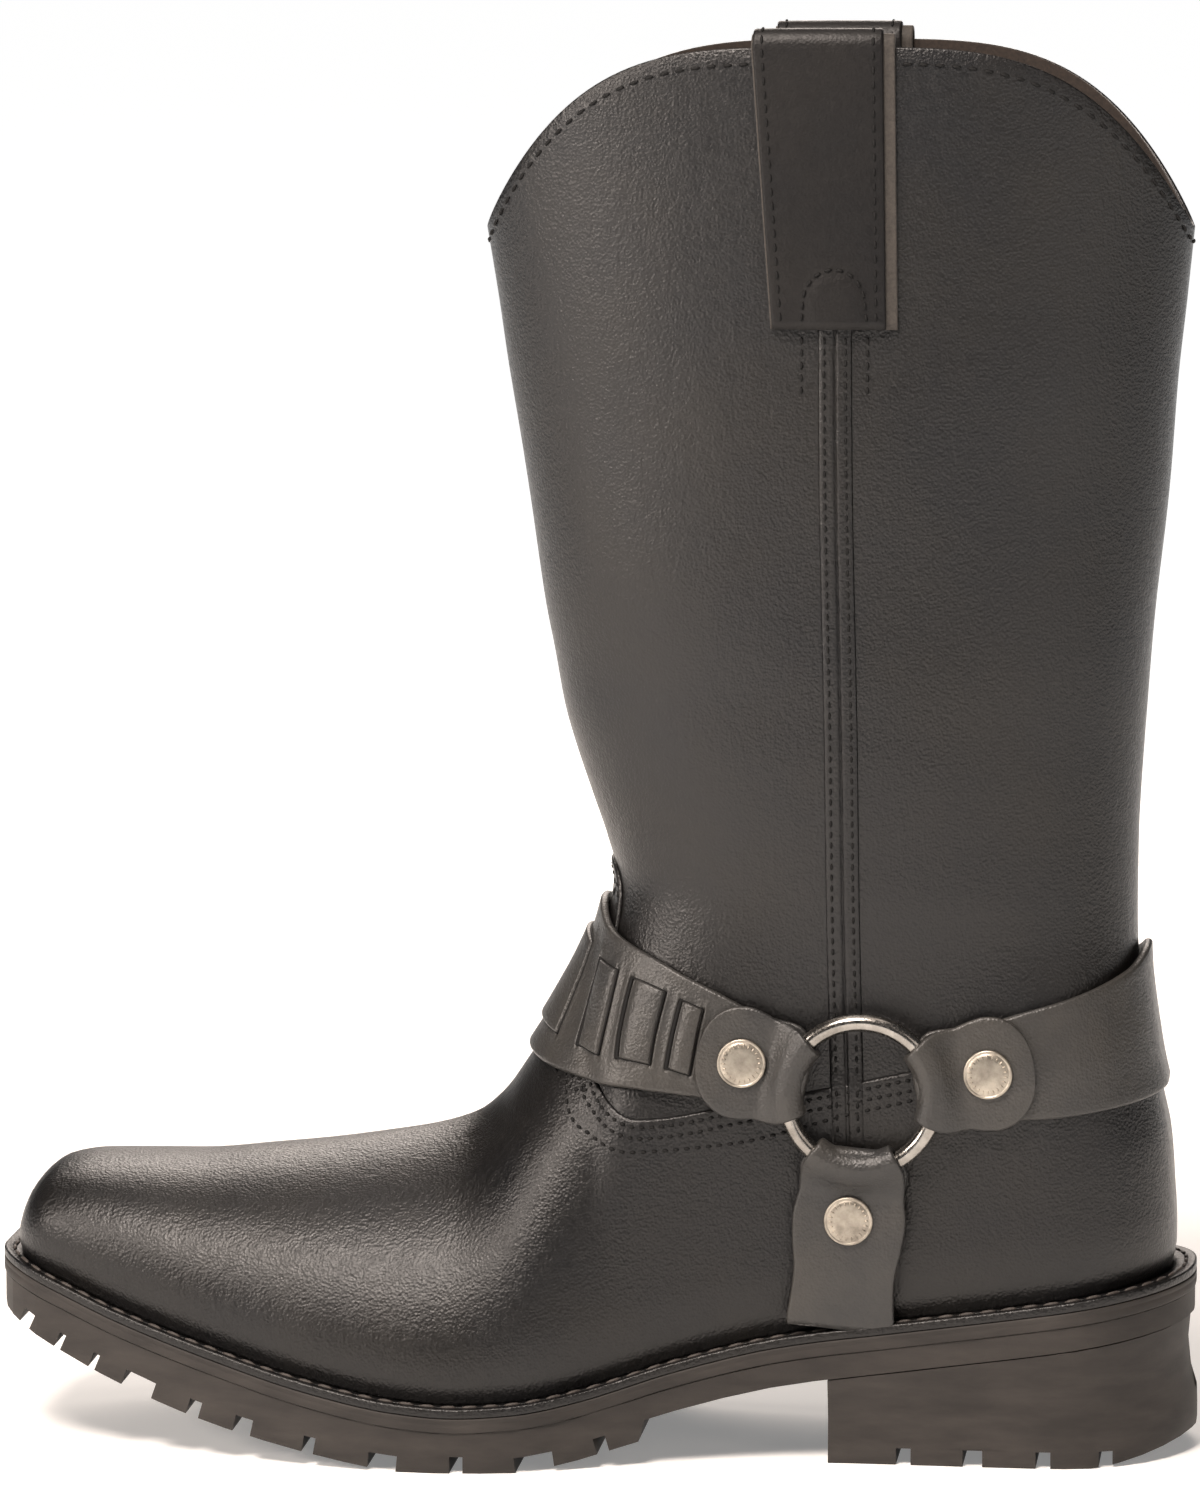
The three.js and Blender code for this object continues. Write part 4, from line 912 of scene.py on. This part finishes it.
# A strap's grid: out gives a point's height over the last from its station, share and height.
def layStrap(place, runs, half, section, out):
    widths = strapWidths(place, runs)

    def lay(i, across, inset, height):
        share = 0.5 + across * (half - inset / widths[i])
        lean = leaning(runs[i], share) if place is frontPlace else runs[i]
        return overLast(place(lean, share), out(i, share, height))
    return layStrip(len(runs), section, lay)


def within(share, low, high):
    return smoothStep(share, low, high) * (1 - smoothStep(share, 1 - high, 1 - low))


frontPlace, backPlace = strapPlaces(frontStrapRows, True), strapPlaces(backStrapRows, False)


def makeFrontStrap():
    edges = sorted({edge for block in weave["blocks"] for edge in block})
    runs = strapRuns(1, 121, edges, weave["strapSteps"])
    slits, swell = np.zeros(len(runs)), np.zeros(len(runs))
    for edge in edges:
        slits = np.maximum(slits, 1 - smoothStep(np.abs(runs - edge), *weave["slitRun"]))
        swell = np.maximum(swell, 1 - smoothStep(np.abs(runs - edge), *weave["swellRun"]))

    # the leather is cut at each slit and lifts a little on both sides of it
    def strapOut(i, share, height):
        lift = (weave["swell"] * swell[i] * within(share, *weave["swellShare"])
                - weave["deep"] * slits[i] * within(share, *weave["slitShare"]))
        return harness["lift"] + height + lift * smoothStep(height, *weave["topFrom"])

    section = stripSection(harness["strap"], 0.9, 18)
    piece = readyMesh(layStrap(frontPlace, runs, 0.5, section, strapOut), "front_strap_leather",
                      strapLeather)
    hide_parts("front_strap")

    # the narrow strip shows over the strap between two slits and hides under it after them
    over, under = harness["lift"] + harness["strap"] - 0.4, harness["lift"] + 0.2
    narrow = strapRuns(0.8, 101, edges, weave["stripSteps"])
    rise, arch = np.zeros(len(narrow)), np.zeros(len(narrow))
    for low, high in weave["blocks"]:
        slowLow, slowHigh = (weave["slow"] if low > 0 else 0), (weave["slow"] if high < 0 else 0)
        inside = smoothStep(narrow, low - weave["edge"], low + weave["edge"] + slowLow) * (
            1 - smoothStep(narrow, high - weave["edge"] - slowHigh, high + weave["edge"]))
        rise = np.maximum(rise, inside)
        middle = np.clip(1 - (2 * (narrow - low) / (high - low) - 1) ** 4, 0, 1)
        arch = np.maximum(arch, middle * (narrow > low) * (narrow < high))

    def stripOut(i, share, height):
        return mix(under, over, rise[i]) + height + weave["arch"] * arch[i]

    section = stripSection(weave["thick"], 0.5, 6, 0.1)
    half = (weave["high"] - weave["low"]) / 2
    piece = readyMesh(layStrap(frontPlace, narrow, half, section, stripOut), "woven_strip",
                      strapLeather)
    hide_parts("front_strap")


# A black ribbon round each block of the woven strip, over its cut edges: painted shade of the
# slits, wider on each block's inner side.
def makeSlitShade():
    bm = bmesh.new()
    top = harness["lift"] + harness["strap"] + weave["swell"]
    lowSide, highSide = top - 0.9, top - 0.05
    for low, high in weave["blocks"]:
        corners = [(low, weave["low"]), (high, weave["low"]), (high, weave["high"]),
                   (low, weave["high"]), (low, weave["low"])]
        steps = np.linspace(0, 1, 25)[:-1]
        runs, shares, halves = [], [], []
        for (fromRun, fromShare), (toRun, toShare) in zip(corners, corners[1:]):
            runs.extend(mix(fromRun, toRun, steps))
            shares.extend(mix(fromShare, toShare, steps))
            inner = fromRun == toRun and abs(fromRun) == min(abs(low), abs(high))
            halves.extend([weave["cut"] if inner else weave["line"]] * len(steps))
        runs, shares, halves = np.array(runs), np.array(shares), np.array(halves)
        at = frontPlace(leaning(runs, shares), shares)
        points, normals = lastPoint(*at), lastNormal(*at)
        tangents = np.roll(points, -1, axis=0) - np.roll(points, 1, axis=0)
        sideways = np.cross(normals, tangents)
        sideways /= np.linalg.norm(sideways, axis=1)[:, None]
        loops = []
        for way, height in ((-1, lowSide), (-1, highSide), (0, top + 0.05), (1, highSide),
                            (1, lowSide)):
            spots = points + normals * height + sideways * (way * halves)[:, None]
            loops.append([bm.verts.new(spot) for spot in toFrame(spots)])
        for loop, after in zip(loops, loops[1:] + loops[:1]):
            for k in range(len(points)):
                bm.faces.new((loop[k - 1], loop[k], after[k], after[k - 1]))
    piece = readyMesh(bm, "woven_slit_shade", slitShadePaint)
    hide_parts("front_strap")


def makeBackStrap():
    section = stripSection(harness["strap"], 0.9, 8)
    grid = layStrap(backPlace, np.linspace(-1, 1, 121), 0.5, section,
                    lambda i, share, height: harness["lift"] + height)
    piece = readyMesh(grid, "back_strap_leather", strapLeather)
    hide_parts("back_strap")


# The plane a ring lies in, from the places where the tabs hold it.
def ringPlane(side):
    held = []
    for tab in tabs.values():
        x = harness["ringX"] + harness["ringRadius"] * math.cos(tab["angle"])
        z = harness["ringZ"] + harness["ringRadius"] * math.sin(tab["angle"])
        held.append(overLast(locate(x, z, side), harness["ringStand"]))
    normal = np.cross(held[1] - held[0], held[2] - held[0])
    normal *= np.sign(normal[1]) * side / np.linalg.norm(normal)
    centre = np.array([harness["ringX"], held[0][1], harness["ringZ"]])
    centre[1] -= np.dot(normal, centre - held[0]) / normal[1]
    along = np.array([1, 0, 0]) - normal * normal[0]
    along /= np.linalg.norm(along)
    return {"centre": centre, "normal": normal, "along": along,
            "up": np.cross(normal, along) * -side}


# u runs out from the ring's centre and w across the tab.
def tabPoint(plane, tab, side, u, w, overPlane, overUpper):
    turn = tab["angle"] + w / harness["ringRadius"]
    c, s = math.cos(tab["angle"]), math.sin(tab["angle"])
    start = harness["ringRadius"] + np.where(overPlane > 0, harness["gap"],
                                             harness["wire"] + harness["gap"])
    run = np.clip((u - start) / (harness["ringRadius"] + harness["drape"] - start), 0, 1)
    far = mix(run, smoothStep(run, 0, 1), 0.6)
    x = mix(u * np.cos(turn), u * c - w * s, far)
    z = mix(u * np.sin(turn), u * s + w * c, far)
    flat = (plane["centre"] + plane["normal"] * overPlane[:, None]
            + plane["along"] * x[:, None] + plane["up"] * z[:, None])
    draped = overLast(locate(harness["ringX"] + x, harness["ringZ"] + z, side), overUpper)
    return mix(flat, draped, far[:, None])


# Where the outer layer of a tab starts, over the last.
def tabLift(tab):
    return harness["lift"] + harness["gap"] + harness["tab" if tab["foot"] else "strap"]


# Rows of distance, half width, bend, height over the plane, sign and height over the upper.
def tabStations(tab):
    ring, foot = harness["ringRadius"], tab["foot"]
    above = (-1, harness["fold"], 1, tabLift(tab))
    below = (-1, -harness["fold"], -1, harness["lift"] + harness["tab"])

    def half(u):
        return harness["tabRound"] * float(tab["widths"](u))

    rows = []
    if not foot:
        for turn in np.linspace(1.57, 0.1, 15):
            rows.append((tab["rivet"] + harness["tabEnd"] * math.sin(turn),
                         harness["tabRound"] * math.cos(turn) ** 0.8, *above))
    start, tail, count, back = ((tab["length"], tab["length"] - 3, 26, 20) if foot else
                                (tab["rivet"], ring + harness["tabTail"], 14, 8))
    for u in np.linspace(start, ring + harness["wire"] + harness["gap"], count):
        rows.append((u, half(u), *above))
    for bend in np.linspace(0.5, 1.5, 15):
        rows.append((ring, half(ring), math.pi * bend, 0, 1, 0))
    for u in np.linspace(ring, tail, back)[1:]:
        rows.append((u, half(u) - harness["gap"], *below))
    return np.array(rows)


def makeTab(name, word, side):
    tab, plane = tabs[name], ringPlane(side)
    rows = tabStations(tab)

    def lay(i, across, inset, height):
        u, half, bend, inner, sign, over = rows[i].T
        w = across * np.maximum(half - inset, half * 0.1)
        bent = bend > 0
        reach = harness["fold"] + height
        uAt = np.where(bent, u + reach * np.cos(bend), u)
        overPlane = np.where(bent, reach * np.sin(bend), inner + sign * height)
        return tabPoint(plane, tab, side, uAt, w, overPlane, over + sign * height)

    section = stripSection(harness["tab"], 0.85, 7)
    piece = readyMesh(layStrip(len(rows), section, lay), name + "_" + word + "_leather",
                      strapLeather)
    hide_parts(name + "_" + word)


def spinRound(bm, geom, steps):
    bmesh.ops.spin(bm, geom=geom, cent=(0, 0, 0), axis=(0, 0, 1), angle=2 * math.pi, steps=steps,
                   use_merge=True)
    bmesh.ops.remove_doubles(bm, verts=bm.verts, dist=1e-7)


def standAt(bm, point, turn):
    bmesh.ops.transform(bm, verts=bm.verts, matrix=Matrix.Translation(toFrame(point)) @ turn)
    bmesh.ops.recalc_face_normals(bm, faces=bm.faces)


# Ring: round steel wire, spun about its own axis.
def makeRing(word, side):
    plane = ringPlane(side)
    bm = bmesh.new()
    bmesh.ops.create_circle(bm, segments=20, radius=harness["wire"] * mm,
                            matrix=Matrix.Translation((harness["ringRadius"] * mm, 0, 0))
                            @ Matrix.Rotation(math.pi / 2, 4, "X"))
    spinRound(bm, bm.verts[:] + bm.edges[:], 96)
    along, up = plane["along"], plane["up"]
    standAt(bm, plane["centre"], axesMatrix(along, up, np.cross(along, up)))
    piece = readyMesh(bm, "ring_" + word + "_steel", ringSteel, "ring_" + word)
    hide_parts("ring_" + word)


# Rivet cap: a flat dome with a rolled rim, and a plain ring of ticks where such caps have marks.
rivet = {"seat": 0.3, "ticks": 22, "tickAt": 4.5, "tickHeight": 0.94, "tick": (0.6, 0.24, 0.34),
         "profile": [(6.15, 0), (6.15, 0.4), (6.1, 0.62), (5.95, 0.8), (5.7, 0.86), (5.52, 0.8),
                     (5.4, 0.7), (5.25, 0.72), (5.1, 0.84), (4.2, 0.95), (3.2, 1.02), (2.1, 1.07),
                     (1, 1.09), (0, 1.1)]}


def makeRivet(name, word, side):
    tab, plane = tabs[name], ringPlane(side)

    def onTab(u, w):
        return tabPoint(plane, tab, side, np.array([u]), np.array([w]), np.zeros(1),
                        np.array([tabLift(tab) + harness["tab"]]))[0]

    along = onTab(tab["rivet"] + 4, 0) - onTab(tab["rivet"] - 4, 0)
    up = onTab(tab["rivet"], 4) - onTab(tab["rivet"], -4)
    out = np.cross(along, up)
    out *= np.sign(out[1]) * side / np.linalg.norm(out)
    along /= np.linalg.norm(along)
    base = onTab(tab["rivet"], 0) + out * rivet["seat"]
    bm = bmesh.new()
    dots = [bm.verts.new((radius * mm, 0, height * mm)) for radius, height in rivet["profile"]]
    lines = [bm.edges.new(pair) for pair in zip(dots, dots[1:])]
    spinRound(bm, dots + lines, 48)
    bmesh.ops.holes_fill(bm, edges=[e for e in bm.edges if e.is_boundary], sides=0)
    long, wide, high = rivet["tick"]
    for k in range(rivet["ticks"]):
        swing = Matrix.Rotation(2 * math.pi * k / rivet["ticks"], 4, "Z")
        spot = swing @ Matrix.Translation((rivet["tickAt"] * mm, 0, rivet["tickHeight"] * mm))
        size = Matrix.Diagonal((long * mm, wide * mm, high * mm, 1))
        bmesh.ops.create_uvsphere(bm, u_segments=8, v_segments=5, radius=1, matrix=spot @ size)
    standAt(bm, base, axesMatrix(along, np.cross(out, along), out))
    piece = readyMesh(bm, name + "_rivet_" + word + "_cap", nickel, sharp=50)
    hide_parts(name + "_rivet_" + word)


makeFrontStrap()
makeSlitShade()
makeBackStrap()
for sideWord, sideSign in (("outer", -1), ("inner", 1)):
    makeRing(sideWord, sideSign)
    for tabName in tabs:
        makeTab(tabName, sideWord, sideSign)
        makeRivet(tabName, sideWord, sideSign)
print("harness made")


# Sole: a welt with its stitches, a midsole band, and the lugged outsole and heel.
edgeBand = {"columns": 420, "threadIn": 2.7, "pitch": 5.3}


def soleOutline(count):
    along = (1 - np.cos(np.linspace(0, math.pi, 400))) / 2
    length = sole["length"]
    x = (along - 0.5) * length
    sides = []
    for side in (-1.0, 1.0):
        half = halfWidth(x, np.full(x.shape, side), 0, x + length / 2, length / 2 - x)
        sides.append(np.stack([x, side * half], -1))
    loop = np.concatenate([sides[0], sides[1][::-1]])
    loop = np.concatenate([loop, loop[:1]])
    run = runAlong(loop)
    at = np.linspace(0, run[-1], count + 1)[:-1]
    points = np.stack([np.interp(at, run, loop[:, 0]), np.interp(at, run, loop[:, 1])], -1)
    for i in range(3):
        points = 0.5 * points + 0.25 * (np.roll(points, 1, 0) + np.roll(points, -1, 0))
    ahead = np.roll(points, -1, 0) - np.roll(points, 1, 0)
    inward = np.stack([-ahead[:, 1], ahead[:, 0]], -1)
    return points, inward / np.linalg.norm(inward, axis=1, keepdims=True)


def layBand(section):
    points, inward = soleOutline(edgeBand["columns"])
    section = np.array(section + section[:1], float)

    def lay(u, v):
        i = np.rint(u * edgeBand["columns"]).astype(int) % edgeBand["columns"]
        j = np.rint(v * (len(section) - 1)).astype(int)
        flat = points[i] + inward[i] * section[j, 0][:, None]
        return np.column_stack([flat, weltTop(flat[:, 0]) - section[j, 1]])
    return layGrid(edgeBand["columns"], len(section) - 1, lay)


def makeWelt():
    section = [(0.2, 2.3), (0.04, 2.1), (0, 1.7), (0.02, 0.6), (0.12, 0.25), (0.4, 0.04),
               (0.8, 0), (2.1, 0), (2.35, 0.12), (2.5, 0.34), (2.9, 0.34), (3.05, 0.12),
               (3.3, 0), (5, 0.05), (9, 0.1), (9, 2.3), (5, 2.4), (0.6, 2.4)]
    piece = readyMesh(layBand(section), "welt_strip", upperLeather)
    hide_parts("welt")
    points, inward = soleOutline(edgeBand["columns"])
    row = points + inward * edgeBand["threadIn"]
    row = np.concatenate([row, row[:1]])
    line = np.column_stack([row, weltTop(row[:, 0]) - 0.05])
    bm = bmesh.new()
    sewRow(bm, line, np.tile([0, 0, 1.0], (len(line), 1)), edgeBand["pitch"], 4.2, 1.05)
    readyMesh(bm, "welt_stitches", weltThread)


def makeMidsole():
    top, deep = sole["welt"] + 0.05, sole["welt"] + 0.3 + sole["midsole"] + 0.2
    section = [(0.5, deep), (0.1, deep - 0.15), (0, deep - 0.5), (0.0, top + 1.7),
               (0.12, top + 1.45), (0, top + 1.2), (0, top + 0.4), (0.12, top + 0.12),
               (0.5, top), (12, top), (12, deep)]
    piece = readyMesh(layBand(section), "midsole_band", soleRubber)
    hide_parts("midsole")


# The solid's own mesh, welded and with its edges softened.
def softenNode(node, name, material, width):
    bm = bmesh.new()
    bm.from_mesh(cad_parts[node].data)
    bm.transform(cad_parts[node].matrix_world)
    bmesh.ops.remove_doubles(bm, verts=bm.verts, dist=1e-6)
    bmesh.ops.dissolve_limit(bm, angle_limit=math.radians(1.5), verts=bm.verts, edges=bm.edges)
    piece = readyMesh(bm, name, material, sharp=32)
    soften = piece.modifiers.new("soft edges", "BEVEL")
    soften.width = width * mm
    soften.segments = 2
    soften.limit_method = "ANGLE"
    soften.angle_limit = math.radians(35)
    soften.use_clamp_overlap = True
    soften.harden_normals = False
    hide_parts(node)


makeWelt()
makeMidsole()
softenNode("outsole", "outsole_lugged", soleRubber, 0.35)
softenNode("heel", "heel_block", soleRubber, 0.45)
softenNode("insole", "insole_board", boardTan, 0.6)
print("sole made")


# Studio: a pale floor with painted light, its own glow full far from the boot and weak near it,
# soft lights and the camera.
studio = {
    "eye": (0.2032, -1.7817, 0.412), "heading": 6.5, "pitch": 7.5, "lens": 171.3,
    "floor": "#f6f5f3", "world": 0.05, "lamp": "#fff2e8",
    "reach": 30, "glowFrom": 0.45, "glowFull": 1.9, "glow": 0.95, "glowNear": 0.22,
    "lights": [  # place, aim, size, watts
        ((-1.35, -0.95, 0.75), (0.02, 0.0, 0.2), 0.45, 17),
        ((-0.3, -1.0, 1.5), (-0.05, 0.0, 0.05), 0.55, 38),
        ((-0.1, 1.0, 0.75), (-0.08, 0.0, 0.05), 0.7, 9),
        ((1.3, -1.2, 0.7), (0.05, 0.0, 0.18), 0.9, 3),
        ((0.0, 0.0, 2.2), (0.0, 0.0, 0.0), 1.6, 9),
    ],
}


def makeStudio():
    bm = bmesh.new()
    bmesh.ops.create_grid(bm, x_segments=1, y_segments=1, size=studio["reach"])
    mesh = bpy.data.meshes.new("studio_floor")
    bm.to_mesh(mesh)
    bm.free()
    floor = newObject("studio_floor", mesh)
    paper, tree, shader, place = newMaterial("floor_paper_painted_glow")
    # The floor's emission is painted light standing in for lamps on the backdrop: weak near the
    # boot, full far from it.
    distance = addNode(tree, "VectorMath", {0: place}, operation="LENGTH").outputs["Value"]
    glow = addNode(tree, "MapRange", {"Value": distance, "From Min": studio["glowFrom"],
                                      "From Max": studio["glowFull"],
                                      "To Min": studio["glowNear"], "To Max": studio["glow"]},
                   interpolation_type="SMOOTHSTEP").outputs["Result"]
    feed(tree, shader, {"Base Color": linear(studio["floor"]), "Roughness": 0.9,
                        "Specular IOR Level": 0.1, "Emission Color": (1, 1, 1, 1),
                        "Emission Strength": glow})
    mesh.materials.append(paper)

    world = bpy.data.worlds.new("studio")
    bpy.context.scene.world = world
    world.use_nodes = True
    feed(world.node_tree, world.node_tree.nodes["Background"],
         {"Color": (1, 1, 1, 1), "Strength": studio["world"]})
    for i, (place, aim, size, watts) in enumerate(studio["lights"]):
        light = bpy.data.lights.new("softbox_%d" % i, "AREA")
        light.energy, light.size, light.shape = watts, size, "SQUARE"
        light.color = linear(studio["lamp"])[:3]
        lamp = newObject("softbox_%d" % i, light)
        lamp.location = place
        lamp.rotation_euler = (Vector(aim) - Vector(place)).to_track_quat("-Z", "Y").to_euler()

    camera = bpy.data.cameras.new("camera")
    camera.lens, camera.sensor_width, camera.sensor_fit = studio["lens"], 36, "AUTO"
    camera.clip_end = 100
    eye = newObject("camera", camera)
    eye.location = studio["eye"]
    heading, pitch = math.radians(studio["heading"]), math.radians(studio["pitch"])
    eye.rotation_euler = (math.pi / 2 - pitch, 0, heading)
    bpy.context.scene.camera = eye


makeStudio()
bpy.context.scene.view_settings.view_transform = "Standard"
print("studio made")
